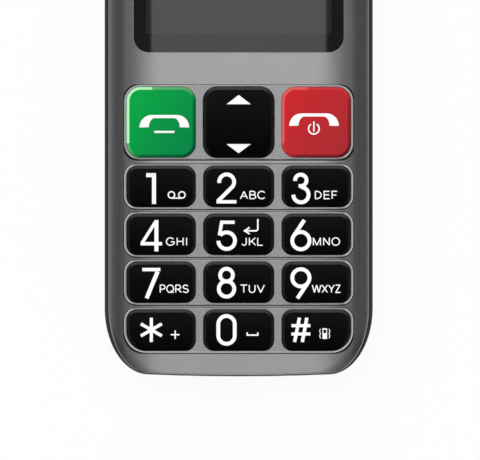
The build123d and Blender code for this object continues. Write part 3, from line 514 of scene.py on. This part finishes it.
# Painted highlight and painted shade on the call and end keys
highlightLine = {
    "along": 0.38,  # shares of the key's width and height, after which the painted highlight is faint
    "down": 0.78,
    "share": 0.85,  # how much of the key's colour the painted highlight covers
    "faint": 0.18,
    "stop": 0.62,  # steepness at which the line ends
    "darkStart": 0.7,  # steepness from which the key's sides get painted shade
    "darkEnd": 0.8,
}


def paintHighlightLine(material, nodeName, colour, dark):
    # a painted highlight down the left edge and along the start of the top edge, then fainter, with
    # painted shade on the lower right and steep sides
    low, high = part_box(nodeName)
    tree = material.node_tree
    along = addShare(tree, (low.x, low.y), (high.x, low.y))
    down = addShare(tree, (low.x, high.y), (low.x, low.y))
    for direction, place, reach in (((0, 1), along, "along"), ((-1, 0), down, "down")):
        past = addMath(tree, "GREATER_THAN", place, highlightLine[reach])
        drop = addMath(tree, "MULTIPLY", past, highlightLine["share"] - highlightLine["faint"])
        share = addMath(tree, "SUBTRACT", highlightLine["share"], drop)
        paintSlopeLight(material, direction, colour, share, stop=highlightLine["stop"])
    paintSlopeLight(material, (1, -1), dark, 1.0)
    for direction in ((-1, 0), (0, 1)):
        paintSlopeLight(material, direction, dark, 1.0, highlightLine["darkStart"], highlightLine["darkEnd"])


def highlightBlackBevels(material):
    # painted highlight on the bevel along the top edge, and faintly at the sides
    share = paintedKeyLight["edgeShare"]
    paintSlopeLight(material, (0, 1), paintedKeyLight["blackEdge"], share)
    for side in ((-1, 0), (1, 0)):
        paintSlopeLight(material, side, paintedKeyLight["blackSide"], share, stop=highlightLine["stop"])


blackGloss = {
    "colour": (0.004, 0.004, 0.004),
    "shade": (0.005, 0.005, 0.005),
    "ior": 1.075,
    "roughness": 0.14,
    "grainSize": 0.3 * mm,
    "grainStrength": 0.05,
}
numberKeys = ["key_" + mark for mark in "1234567890"] + ["key_star", "key_hash"]
blackKeys = makeFinish("black_gloss", blackGloss)
keyLow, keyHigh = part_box("key_0")
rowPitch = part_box("key_8")[1].y - keyHigh.y
# all twelve keys share this finish, so its painted shade starts again with every row
paintShadeDown(blackKeys, Vector((keyLow.x, keyHigh.y - rowPitch, 0)), keyHigh, True)
highlightBlackBevels(blackKeys)
dress(blackKeys, *numberKeys)

rockerBlack = makeFinish("rocker_gloss", blackGloss)
paintShadeDown(rockerBlack, *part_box("nav_key"))
highlightBlackBevels(rockerBlack)
dress(rockerBlack, "nav_key")

greenGloss = {
    "colour": (0.003, 0.36, 0.055),
    "shade": (0.003, 0.335, 0.053),
    "ior": 1.07,
    "roughness": 0.25,
    "grainSize": 0.3 * mm,
    "grainStrength": 0.05,
}
callGreen = makeFinish("green_gloss", greenGloss)
paintLowerRightShade(callGreen, "call_key", paintedKeyLight["greenLow"])
paintHighlightLine(callGreen, "call_key", paintedKeyLight["greenEdge"], paintedKeyLight["greenDark"])
dress(callGreen, "call_key")

redGloss = {
    "colour": (0.56, 0.02, 0.025),
    "shade": (0.53, 0.02, 0.025),
    "ior": 1.07,
    "roughness": 0.25,
    "grainSize": 0.3 * mm,
    "grainStrength": 0.05,
}
endRed = makeFinish("red_gloss", redGloss)
paintLowerRightShade(endRed, "end_key", paintedKeyLight["redLow"])
paintHighlightLine(endRed, "end_key", paintedKeyLight["redEdge"], paintedKeyLight["redDark"])
dress(endRed, "end_key")
print("keys dressed")


# Display, small parts and the inside

windowBorder = {
    "side": 2.4 * mm,  # printed black border round the viewing area
    "end": 3.6 * mm,
    "blur": 0.1 * mm,
    "screen": (0.020, 0.023, 0.024),
    "pixels": 0.24 * mm,
    "betweenPixels": 0.7,  # brightness there, 1 being that of a pixel
}


def paintScreen(material):
    # the dark screen shows a shade lighter inside its printed border, with fine rows of dots
    tree = material.node_tree
    low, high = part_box("display_window")
    place = addPlace(tree)
    x = addMath(tree, "ABSOLUTE", place["X"])
    middle = (low.y + high.y) / 2
    y = addMath(tree, "ABSOLUTE", addMath(tree, "SUBTRACT", place["Y"], middle))
    halfX = high.x - windowBorder["side"]
    halfY = (high.y - low.y) / 2 - windowBorder["end"]
    blur = windowBorder["blur"]
    insideX = addStep(tree, addMath(tree, "SUBTRACT", halfX, x), 0.0, blur)
    insideY = addStep(tree, addMath(tree, "SUBTRACT", halfY, y), 0.0, blur)
    dots = addDots(tree, windowBorder["pixels"], windowBorder["betweenPixels"])
    inside = addMath(tree, "MULTIPLY", insideX, insideY)
    mixInto(tree, addMath(tree, "MULTIPLY", inside, dots), windowBorder["screen"])


windowLook = {
    "colour": (0.006, 0.007, 0.008),
    "shade": (0.008, 0.009, 0.010),
    "spotSize": 20 * mm,
    "roughness": 0.06,
    "roughnessSpread": 0.01,
    "grainStrength": 0.0,
}
windowGlass = makeFinish("window", windowLook)
paintScreen(windowGlass)
dress(windowGlass, "display_window")

meshLook = {
    "colour": (0.22, 0.22, 0.22),
    "shade": (0.18, 0.18, 0.18),
    "spotSize": 0.4 * mm,
    "metallic": 0.8,
    "roughness": 0.4,
    "grainSize": 0.3 * mm,
    "grainStrength": 0.8,
}
# Holes painted dark, as the shade behind them
meshHoleShade = {
    "pitch": 0.5 * mm,
    "colour": (0.002, 0.002, 0.002),
    "rimStart": 0.25,  # on a wave that is 0 between the holes and 1 at their middles
    "rimEnd": 0.4,
}


def paintHoleShade(material):
    # rows of round holes, painted dark as the shade behind them
    tree = material.node_tree
    dots = addDots(tree, meshHoleShade["pitch"], 0.0)
    holes = addStep(tree, dots, meshHoleShade["rimStart"], meshHoleShade["rimEnd"])
    mixInto(tree, holes, meshHoleShade["colour"])


holedMetal = makeFinish("mesh", meshLook)
paintHoleShade(holedMetal)
dress(holedMetal, "earpiece_mesh", "speaker_mesh")

sideKeyLook = {
    "colour": (0.10, 0.10, 0.104),
    "shade": (0.085, 0.085, 0.088),
    "metallic": 0.3,
    "roughness": 0.4,
}
dress(makeFinish("side_key", sideKeyLook), "volume_key", "torch_switch")

sosRed = {
    "colour": (0.5, 0.03, 0.03),
    "shade": (0.45, 0.025, 0.025),
    "roughness": 0.35,
}
dress(makeFinish("sos_red", sosRed), "sos_key")

lensLook = {
    "colour": (0.75, 0.78, 0.8),
    "shade": (0.7, 0.73, 0.75),
    "roughness": 0.1,
    "coat": 0.5,
}
dress(makeFinish("torch_lens", lensLook), "torch_lens", "torch_led")

steelLook = {
    "colour": (0.55, 0.55, 0.55),
    "shade": (0.48, 0.48, 0.48),
    "metallic": 1.0,
    "roughness": 0.3,
}
steelParts = ["usb_socket", "screws", "sim_holders", "card_holder", "shield_cans", "dome_sheet"]
dress(makeFinish("steel_parts", steelLook), *steelParts)

goldLook = {
    "colour": (0.75, 0.55, 0.2),
    "shade": (0.68, 0.5, 0.18),
    "metallic": 1.0,
    "roughness": 0.28,
}
dress(makeFinish("gold_contacts", goldLook), "dock_contacts")

blackPlastic = {
    "colour": (0.015, 0.015, 0.015),
    "shade": (0.011, 0.011, 0.011),
    "roughness": 0.5,
    "grainStrength": 0.4,
}
plasticParts = ["headphone_socket", "earpiece", "loudspeaker", "microphone", "vibration_motor"]
plasticParts += ["antenna", "side_switches", "sos_switch", "battery_contacts"]
plasticParts += ["display_gasket", "display_panel"]
dress(makeFinish("socket_plastic", blackPlastic), *plasticParts)

siliconeLook = {
    "colour": (0.35, 0.36, 0.38),
    "shade": (0.30, 0.31, 0.33),
    "roughness": 0.6,
}
dress(makeFinish("silicone", siliconeLook), "keypad_mat")

boardLook = {
    "colour": (0.01, 0.09, 0.035),
    "shade": (0.015, 0.14, 0.05),
    "spotSize": 1.5 * mm,
    "roughness": 0.35,
    "grainSize": 0.6 * mm,
    "grainStrength": 0.3,
}
dress(makeFinish("board", boardLook), "main_board")

batteryWrap = {
    "colour": (0.10, 0.11, 0.13),
    "shade": (0.085, 0.09, 0.11),
    "roughness": 0.38,
    "grainStrength": 0.15,
}
dress(makeFinish("battery_wrap", batteryWrap), "battery")
print("small parts dressed")


# Printed legends: flat strokes and plates, made in millimetres and laid on the crowned keys

printLook = {
    "colour": (0.93, 0.93, 0.93),
    "shade": (0.91, 0.91, 0.91),
    "spotSize": 2 * mm,
    "roughness": 0.5,
    "grainStrength": 0.1,
}
whitePrint = makeFinish("white_print", printLook)
printing = {
    # lengths in millimetres
    "thickness": 0.05,
    "stand": 0.03,  # how far the print stands over the key's face
    "layer": 0.008,  # strokes that cross lie this much over each other
    "layers": 4,
    "step": 0.25,  # spacing of the points along a stroke
    "turnStep": 15,  # degrees between them round a small bend
    "arcSteps": 6,  # the fewest steps of any bend
    "closeGap": 0.008,  # a path whose ends lie nearer than this is a ring
    "weldGap": 0.001,
    "stem": 0.79,  # widths of the strokes of the big marks
    "bar": 0.66,
    "curve": 0.75,
    "slash": 0.62,
    "letterHeight": 1.68,
    "letterPen": 0.21,
    "margin": 1.25,  # the print keeps to the flat face, this far inside the key and its flange
    "nudge": 0.02,  # how far the two rays that look for the face stand from their point
}


def straight(*points):
    # a path through these points
    path = []
    for (ax, ay), (bx, by) in zip(points, points[1:]):
        count = max(1, round(math.hypot(bx - ax, by - ay) / printing["step"]))
        for index in range(count):
            share = index / count
            path.append((ax + (bx - ax) * share, ay + (by - ay) * share))
    path.append(points[-1])
    return path


def arc(centre, radius, start, end, radiusY=None):
    # a path along a circle or an ellipse, angles in degrees, anticlockwise if end is over start
    turn = math.radians(end - start)
    byLength = round(abs(turn) * radius / printing["step"])
    byTurn = round(abs(end - start) / printing["turnStep"])
    count = max(printing["arcSteps"], byLength, byTurn)
    path = []
    for index in range(count + 1):
        angle = math.radians(start) + turn * index / count
        y = centre[1] + (radiusY or radius) * math.sin(angle)
        path.append((centre[0] + radius * math.cos(angle), y))
    return path


def addPath(curve, path, closed):
    spline = curve.splines.new("POLY")
    spline.points.add(len(path) - 1)
    for point, (x, y) in zip(spline.points, path):
        point.co = (x, y, 0, 1)
    spline.use_cyclic_u = closed


def meshOf(curve):
    holder = bpy.data.objects.new(curve.name, curve)
    bpy.context.scene.collection.objects.link(holder)
    depsgraph = bpy.context.evaluated_depsgraph_get()
    mesh = bpy.data.meshes.new_from_object(holder.evaluated_get(depsgraph))
    bpy.data.objects.remove(holder)
    return mesh


def stroke(path, width, closed=False):
    # a flat bar of one width along a path
    nib = bpy.data.curves.new("nib", "CURVE")
    nib.dimensions = "2D"
    low = printing["stand"] - printing["thickness"]
    high = printing["stand"]
    half = width / 2
    addPath(nib, [(-half, low), (half, low), (half, high), (-half, high)], True)
    nibObject = bpy.data.objects.new("nib", nib)
    bpy.context.scene.collection.objects.link(nibObject)
    line = bpy.data.curves.new("stroke", "CURVE")
    line.dimensions = "2D"
    line.fill_mode = "NONE"
    line.bevel_mode = "OBJECT"
    line.bevel_object = nibObject
    line.use_fill_caps = True
    addPath(line, path[:-1] if closed else path, closed)
    mesh = meshOf(line)
    bpy.data.objects.remove(nibObject)
    return mesh


def plate(*outlines):
    # a flat plate inside the first outline, with the other outlines as holes in it
    sheet = bpy.data.curves.new("plate", "CURVE")
    sheet.dimensions = "2D"
    sheet.fill_mode = "BOTH"
    sheet.extrude = printing["thickness"] / 2
    for outline in outlines:
        addPath(sheet, outline, True)
    mesh = meshOf(sheet)
    mesh.transform(Matrix.Translation((0, 0, printing["stand"] - printing["thickness"] / 2)))
    return mesh


# Small capitals as paths, with a height of 1, and the room that each takes in a word

def bowl(left, right, low, high):
    # a half ellipse that bulges to the right, with straight arms back to the stem
    bulge = 1.1  # a little wider than a half circle
    middle = (low + high) / 2
    bend = (high - low) / 2
    reach = min(bend * bulge, right - left)
    return [(left, high)] + arc((right - reach, middle), reach, 90, -90, bend) + [(left, low)]


def capitals():
    stemX = 0.18
    farX = 0.82
    leftStem = [(stemX, 0), (stemX, 1)]
    ring = arc((0.545, 0.5), 0.43, 0, 360, 0.5)
    headBowl = bowl(stemX, 0.81, 0.44, 1)
    return {
        "A": (0.93, [(0.09, 0), (0.465, 1)], [(0.465, 1), (0.84, 0)], [(0.22, 0.33), (0.71, 0.33)]),
        "B": (0.93, leftStem, bowl(stemX, 0.74, 0.52, 1), bowl(stemX, 0.80, 0, 0.52)),
        "C": (1.0, arc((0.52, 0.5), 0.41, 38, 322, 0.5)),
        "D": (1.0, leftStem, bowl(stemX, 0.86, 0, 1)),
        "E": (0.93, [(0.82, 1), (0.2, 1), (0.2, 0), (0.85, 0)], [(0.2, 0.52), (0.78, 0.52)]),
        "F": (0.85, [(0.78, 1), (0.2, 1), (0.2, 0)], [(0.2, 0.5), (0.7, 0.5)]),
        "G": (1.09, arc((0.54, 0.5), 0.43, 38, 322, 0.5), [(0.58, 0.46), (0.94, 0.46), (0.94, 0.14)]),
        "H": (1.0, leftStem, [(farX, 0), (farX, 1)], [(stemX, 0.52), (farX, 0.52)]),
        "I": (0.39, [(0.195, 0), (0.195, 1)]),
        "J": (0.7, [(0.52, 1)] + arc((0.29, 0.26), 0.23, 0, -165, 0.26)),
        "K": (0.93, leftStem, [(0.85, 1), (stemX, 0.34)], [(0.4, 0.57), (0.88, 0)]),
        "L": (0.78, [(stemX, 1), (stemX, 0), (0.74, 0)]),
        "M": (1.16, leftStem, [(stemX, 1), (0.58, 0)], [(0.58, 0), (0.98, 1)], [(0.98, 1), (0.98, 0)]),
        "N": (1.0, leftStem, [(stemX, 1), (farX, 0)], [(farX, 0), (farX, 1)]),
        "O": (1.09, ring),
        "P": (0.93, leftStem, headBowl),
        "Q": (1.09, ring, [(0.62, 0.24), (0.97, -0.04)]),
        "R": (1.0, leftStem, headBowl, [(0.5, 0.44), (0.9, 0)]),
        "S": (0.93, arc((0.46, 0.755), 0.3, 15, 255, 0.245) + arc((0.48, 0.255), 0.33, 75, -165, 0.255)),
        "T": (0.85, [(0.06, 1), (0.79, 1)], [(0.425, 1), (0.425, 0)]),
        "U": (1.0, [(stemX, 1)] + arc((0.5, 0.34), 0.32, 180, 360, 0.34) + [(farX, 1)]),
        "V": (0.93, [(0.07, 1), (0.465, 0)], [(0.465, 0), (0.86, 1)]),
        "W": (
            1.32,
            [(0.06, 1), (0.36, 0)],
            [(0.36, 0), (0.66, 1)],
            [(0.66, 1), (0.96, 0)],
            [(0.96, 0), (1.26, 1)],
        ),
        "X": (0.93, [(0.1, 0), (0.83, 1)], [(0.1, 1), (0.83, 0)]),
        "Y": (0.93, [(0.07, 1), (0.465, 0.44)], [(0.86, 1), (0.465, 0.44)], [(0.465, 0.46), (0.465, 0)]),
        "Z": (0.85, [(0.1, 1), (0.75, 1)], [(0.07, 0), (0.79, 0)], [(0.72, 0.97), (0.12, 0.03)]),
    }


def word(text, width, height=None, pen=None):
    # drawn out to the width that the word has on the key, round its own middle
    pen = pen or printing["letterPen"]
    shapes = capitals()
    paths = []
    start = 0.0
    for letter in text:
        room, *strokes = shapes[letter]
        paths += [[(start + x, y) for x, y in path] for path in strokes]
        start += room
    left = min(x for path in paths for x, y in path)
    right = max(x for path in paths for x, y in path)
    scaleX = (width - pen) / (right - left)
    scaleY = (height or printing["letterHeight"]) - pen
    meshes = []
    for path in paths:
        placed = [((x - (left + right) / 2) * scaleX, (y - 0.5) * scaleY) for x, y in path]
        closed = math.dist(placed[0], placed[-1]) < printing["closeGap"]
        meshes.append(stroke(placed, pen, closed))
    return meshes


# Turns of the print, which is drawn facing up with its top towards the phone's top end
facingUp = Matrix.Identity(3)
facingDown = Matrix.Rotation(math.pi, 3, "Y")
facingLeft = Matrix(((0, 0, -1), (-1, 0, 0), (0, 1, 0)))


def faceHeight(key, middle, facing, x, y, reach):
    # height of the key's outside over its middle; two rays, because one can slip through a seam
    heights = []
    for nudge in (-printing["nudge"] * mm, printing["nudge"] * mm):
        start = middle + facing @ Vector((x + nudge, y + nudge, 2 * reach.z))
        found, spot = key.ray_cast(start, facing @ Vector((0, 0, -1)))[:2]
        if found:
            heights.append((facing.transposed() @ (spot - middle)).z)
    return max(heights, default=reach.z)


def joinMarks(marks):
    # marks come with their places from the key's middle; here they become metres
    joined = bmesh.new()
    for index, (mesh, place) in enumerate(marks):
        lift = index % printing["layers"] * printing["layer"]
        mesh.transform(Matrix.Scale(mm, 4) @ Matrix.Translation((place[0], place[1], lift)))
        joined.from_mesh(mesh)
        bpy.data.meshes.remove(mesh)
    return joined


def layOn(name, marks, keyName, facing=facingUp):
    # lays the marks on the outside of a key, and lets them ride with it
    key = nodes[keyName]
    low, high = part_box(keyName)
    middle = (low + high) / 2
    reach = facing.transposed() @ ((high - low) / 2)
    reach = Vector([abs(size) for size in reach])
    flat = reach - Vector((1, 1, 0)) * printing["margin"] * mm
    joined = joinMarks(marks)
    for vertex in joined.verts:
        x, y, lift = vertex.co
        onFaceX = min(max(x, -flat.x), flat.x)
        onFaceY = min(max(y, -flat.y), flat.y)
        height = faceHeight(key, middle, facing, onFaceX, onFaceY, reach)
        vertex.co = middle + facing @ Vector((x, y, height + lift))
    bmesh.ops.remove_doubles(joined, verts=joined.verts, dist=printing["weldGap"] * mm)
    bmesh.ops.recalc_face_normals(joined, faces=joined.faces)
    for face in joined.faces:
        face.smooth = False
    data = bpy.data.meshes.new(name)
    joined.to_mesh(data)
    joined.free()
    data.materials.append(whitePrint)
    piece = bpy.data.objects.new(name, data)
    bpy.context.scene.collection.objects.link(piece)
    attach(piece, keyName)


# Big marks, about 6 millimetres high, as meshes round their own centres

stemPen = printing["stem"]
barPen = printing["bar"]
curvePen = printing["curve"]
slashPen = printing["slash"]


def starArms():
    # three bars through the middle make six arms
    reach = 2.38
    bars = []
    for angle in (30, 90, 150):
        x = reach * math.cos(math.radians(angle))
        y = reach * math.sin(math.radians(angle))
        bars.append(stroke(straight((-x, -y), (x, y)), slashPen))
    return bars


bigMarks = {
    "1": [stroke(straight((-1.0, 2.63), (0.52, 2.63), (0.52, -3.05)), stemPen)],
    "2": [
        stroke(arc((0.03, 1.29), 1.48, 188, -45) + straight((1.07, 0.24), (-1.72, -2.52))[1:], curvePen),
        stroke(straight((-1.97, -2.63), (1.95, -2.63)), barPen),
    ],
    "3": [
        stroke(arc((-0.02, 1.6), 1.13, 185, -90) + straight((-0.02, 0.47), (-0.44, 0.47))[1:], curvePen),
        stroke(arc((0.02, -1.24), 1.5, 180, 450), curvePen),
    ],
    "4": [
        stroke(straight((1.0, -3.08), (1.0, 3.08)), stemPen),
        stroke(straight((-2.11, -1.58), (2.11, -1.58)), barPen),
        stroke(straight((0.8, 2.7), (-1.85, -1.5)), slashPen),
    ],
    "5": [
        stroke(straight((1.6, 2.65), (-0.95, 2.65), (-1.4, 0.05)), barPen),
        stroke(arc((0.03, -0.98), 1.64, 140, -179), curvePen),
    ],
    "6": [
        stroke(straight((0.68, 3.08), (-1.41, -0.03)), curvePen),
        stroke(arc((0.0, -0.98), 1.7, 0, 360), curvePen, True),
    ],
    "7": [
        stroke(straight((-1.78, 2.6), (1.78, 2.6)), barPen),
        stroke(straight((1.24, 2.2), (-0.95, -3.08)), stemPen),
    ],
    "8": [
        stroke(arc((0.0, 1.51), 1.25, 0, 360), curvePen, True),
        stroke(arc((0.0, -1.21), 1.52, 0, 360), curvePen, True),
    ],
    "9": [
        stroke(straight((-0.68, -3.08), (1.41, 0.03)), curvePen),
        stroke(arc((0.0, 0.98), 1.7, 0, 360), curvePen, True),
    ],
    "star": starArms(),
    "0": [
        stroke(
            arc((0.0, 1.12), 1.62, 0, 180) + arc((0.0, -1.12), 1.62, 180, 360) + [(1.62, 1.12)],
            curvePen,
            True,
        )
    ],
    "hash": [
        stroke(straight((-0.28, 2.4), (-1.24, -2.4)), barPen),
        stroke(straight((1.18, 2.4), (0.28, -2.4)), barPen),
        stroke(straight((-1.87, 0.83), (1.87, 0.83)), slashPen),
        stroke(straight((-1.87, -0.81), (1.87, -0.81)), slashPen),
    ],
}


# Small marks beside them, round their own centres, in millimetres

voicemail = {"reel": 0.63, "apart": 1.03, "pen": 0.25, "place": (3.08, -1.68)}


def voicemailMark():
    # two reels of tape on a line
    reel = voicemail["reel"]
    apart = voicemail["apart"]
    pen = voicemail["pen"]
    return [
        stroke(arc((-apart, 0), reel, 0, 360), pen, True),
        stroke(arc((apart, 0), reel, 0, 360), pen, True),
        stroke(straight((-apart, -reel), (apart, -reel)), pen),
    ]


enterArrow = {
    "right": 3.78,
    "top": 3.0,
    "foot": 0.69,
    "shaftEnd": 1.3,
    "tip": 1.16,
    "barbX": 2.16,
    "barbTop": 1.38,
    "barbBottom": 0.05,
    "bend": 0.4,
    "pen": 0.30,
    "place": (0, 0),  # the arrow is drawn from the key's middle
}


def enterMark():
    # an arrow that comes down and turns to the left
    right = enterArrow["right"]
    foot = enterArrow["foot"]
    bend = enterArrow["bend"]
    pen = enterArrow["pen"]
    barbX = enterArrow["barbX"]
    corner = arc((right - bend, foot + bend), bend, 0, -90)
    shaft = [(right, enterArrow["top"])] + corner + [(enterArrow["shaftEnd"], foot)]
    tip = (enterArrow["tip"], foot)
    barbs = straight((barbX, enterArrow["barbTop"]), tip, (barbX, enterArrow["barbBottom"]))
    return [stroke(shaft, pen), stroke(barbs, pen)]


plusSign = {"half": 0.85, "pen": 0.27, "place": (2.78, -0.89)}


def plusMark():
    half = plusSign["half"]
    pen = plusSign["pen"]
    return [stroke(straight((-half, 0), (half, 0)), pen), stroke(straight((0, -half), (0, half)), pen)]


spaceBar = {"half": 1.05, "top": 0.42, "bottom": -0.12, "pen": 0.28, "place": (2.73, -0.85)}


def spaceMark():
    half = spaceBar["half"]
    top = spaceBar["top"]
    bottom = spaceBar["bottom"]
    path = straight((-half, top), (-half, bottom), (half, bottom), (half, top))
    return [stroke(path, spaceBar["pen"])]


silentPhone = {
    "right": 0.46,
    "top": 1.05,
    "screenRight": 0.28,
    "screenBottom": 0.1,
    "screenTop": 0.78,
    "near": 0.83,  # the waves go to and fro between these two
    "far": 1.01,
    "step": 0.47,
    "pen": 0.15,
    "place": (1.67, -0.68),
}


def rectangle(right, bottom, top):
    return [(-right, bottom), (right, bottom), (right, top), (-right, top)]


def silentMark():
    # a small phone with waves at both sides
    outline = rectangle(silentPhone["right"], -silentPhone["top"], silentPhone["top"])
    screen = rectangle(
        silentPhone["screenRight"],
        silentPhone["screenBottom"],
        silentPhone["screenTop"],
    )
    marks = [plate(outline, screen)]
    near = silentPhone["near"]
    far = silentPhone["far"]
    step = silentPhone["step"]
    for side in (-1, 1):
        bends = enumerate((near, far, near, far, near), start=-2)
        wave = straight(*[(side * x, -index * step) for index, x in bends])
        marks.append(stroke(wave, silentPhone["pen"]))
    return marks


# marks and their place from the key's middle
smallMarks = {
    "1": (voicemailMark(), voicemail["place"]),
    "5": (enterMark(), enterArrow["place"]),
    "star": (plusMark(), plusSign["place"]),
    "0": (spaceMark(), spaceBar["place"]),
    "hash": (silentMark(), silentPhone["place"]),
}
# letters, the width of the word, and the place of its middle from the key's
words = {
    "2": ("ABC", 4.99, (2.74, -1.70)),
    "3": ("DEF", 4.50, (1.95, -1.70)),
    "4": ("GHI", 4.19, (3.04, -1.42)),
    "5": ("JKL", 4.26, (2.71, -1.42)),
    "6": ("MNO", 5.37, (2.0, -1.42)),
    "7": ("PQRS", 5.73, (2.59, -1.28)),
    "8": ("TUV", 4.90, (2.71, -1.28)),
    "9": ("WXYZ", 5.79, (2.0, -1.28)),
}

# The printed layout shifts from column to column and from row to row
numberRows = [("1", "2", "3"), ("4", "5", "6"), ("7", "8", "9"), ("star", "0", "hash")]
columnShifts = (-1.92, -2.40, -3.04)
rowShifts = (-0.41, -0.27, -0.10, 0.06)
for row, rowShift in zip(numberRows, rowShifts):
    for mark, columnShift in zip(row, columnShifts):
        marks = [(mesh, (columnShift, rowShift)) for mesh in bigMarks[mark]]
        if mark in smallMarks:
            meshes, place = smallMarks[mark]
            marks += [(mesh, place) for mesh in meshes]
        if mark in words:
            text, width, place = words[mark]
            marks += [(mesh, place) for mesh in word(text, width)]
        layOn("legend_" + mark, marks, "key_" + mark)


# Arrows on the rocker and handsets on the call keys

arrow = {"half": 2.39, "upTip": 5.38, "upBase": 3.55, "downTip": -6.11, "downBase": -4.31}
# the outer line is the back of the handset, and the inner one lies between its two ends
handset = {
    "outerHalf": 4.90,
    "innerHalf": 3.05,
    "outerBend": (2.40, 2.50),
    "innerBend": (1.16, 1.80),
    "height": 2.42,
    "crest": 0.62,
}
callMark = {"handsetPlace": (0.64, 1.43), "barPlace": (0.66, -1.91), "barHalf": 1.80, "barEnd": 0.21}
endMark = {
    "handsetPlace": (-0.45, 1.74),
    "powerPlace": (-0.48, -1.28),
    "ring": 1.05,
    "gap": 32,  # degrees that the ring is open at each side of its top
    "low": -0.58,
    "high": 1.42,
    "pen": 0.28,
}


def handsetPlate():
    # seen from the front, lying with both ends down; its top is at y 0
    outerX = handset["outerHalf"] - handset["outerBend"][0]
    innerX = handset["innerHalf"] - handset["innerBend"][0]
    outerY = -handset["outerBend"][1]
    innerY = -handset["crest"] - handset["innerBend"][1]
    outline = [(handset["outerHalf"], -handset["height"])]
    outline += arc((outerX, outerY), handset["outerBend"][0], 0, 90, handset["outerBend"][1])
    outline += arc((-outerX, outerY), handset["outerBend"][0], 90, 180, handset["outerBend"][1])
    outline += [(-handset["outerHalf"], -handset["height"]), (-handset["innerHalf"], -handset["height"])]
    outline += arc((-innerX, innerY), handset["innerBend"][0], 180, 90, handset["innerBend"][1])
    outline += arc((innerX, innerY), handset["innerBend"][0], 90, 0, handset["innerBend"][1])
    outline.append((handset["innerHalf"], -handset["height"]))
    return plate(outline)


def selectBar():
    half = callMark["barHalf"]
    end = callMark["barEnd"]
    return plate(arc((half, 0), end, -90, 90) + arc((-half, 0), end, 90, 270))


def powerMark():
    # an open ring with a line through the gap in it
    gap = endMark["gap"]
    ring = arc((0, 0), endMark["ring"], 90 + gap, 450 - gap)
    line = straight((0, endMark["low"]), (0, endMark["high"]))
    return [stroke(ring, endMark["pen"]), stroke(line, endMark["pen"])]


half = arrow["half"]
upArrow = plate([(-half, arrow["upBase"]), (half, arrow["upBase"]), (0, arrow["upTip"])])
downArrow = plate([(-half, arrow["downBase"]), (0, arrow["downTip"]), (half, arrow["downBase"])])
layOn("legend_rocker", [(upArrow, (0, 0)), (downArrow, (0, 0))], "nav_key")
callMarks = [(handsetPlate(), callMark["handsetPlace"]), (selectBar(), callMark["barPlace"])]
layOn("legend_call", callMarks, "call_key")
endMarks = [(handsetPlate(), endMark["handsetPlace"])]
endMarks += [(mesh, endMark["powerPlace"]) for mesh in powerMark()]
layOn("legend_end", endMarks, "end_key")


# Marks on the rear key and on the volume key

rearMark = {"word": "SOS", "width": 7.2, "height": 2.9, "pen": 0.52}
volumeMark = {"half": 0.5, "pen": 0.26, "fromMiddle": 5.4}


def volumeMarks():
    # minus towards the bottom end, plus towards the top end
    half = volumeMark["half"]
    away = volumeMark["fromMiddle"]
    pen = volumeMark["pen"]
    level = straight((-half, 0), (half, 0))
    upright = straight((0, -half), (0, half))
    # seen from the left side, the top end lies to the left
    places = ((level, away), (level, -away), (upright, -away))
    return [(stroke(path, pen), (x, 0)) for path, x in places]


rearWord = word(rearMark["word"], rearMark["width"], rearMark["height"], rearMark["pen"])
layOn("legend_sos", [(mesh, (0, 0)) for mesh in rearWord], "sos_key", facingDown)
layOn("legend_volume", volumeMarks(), "volume_key", facingLeft)
print("legends done")
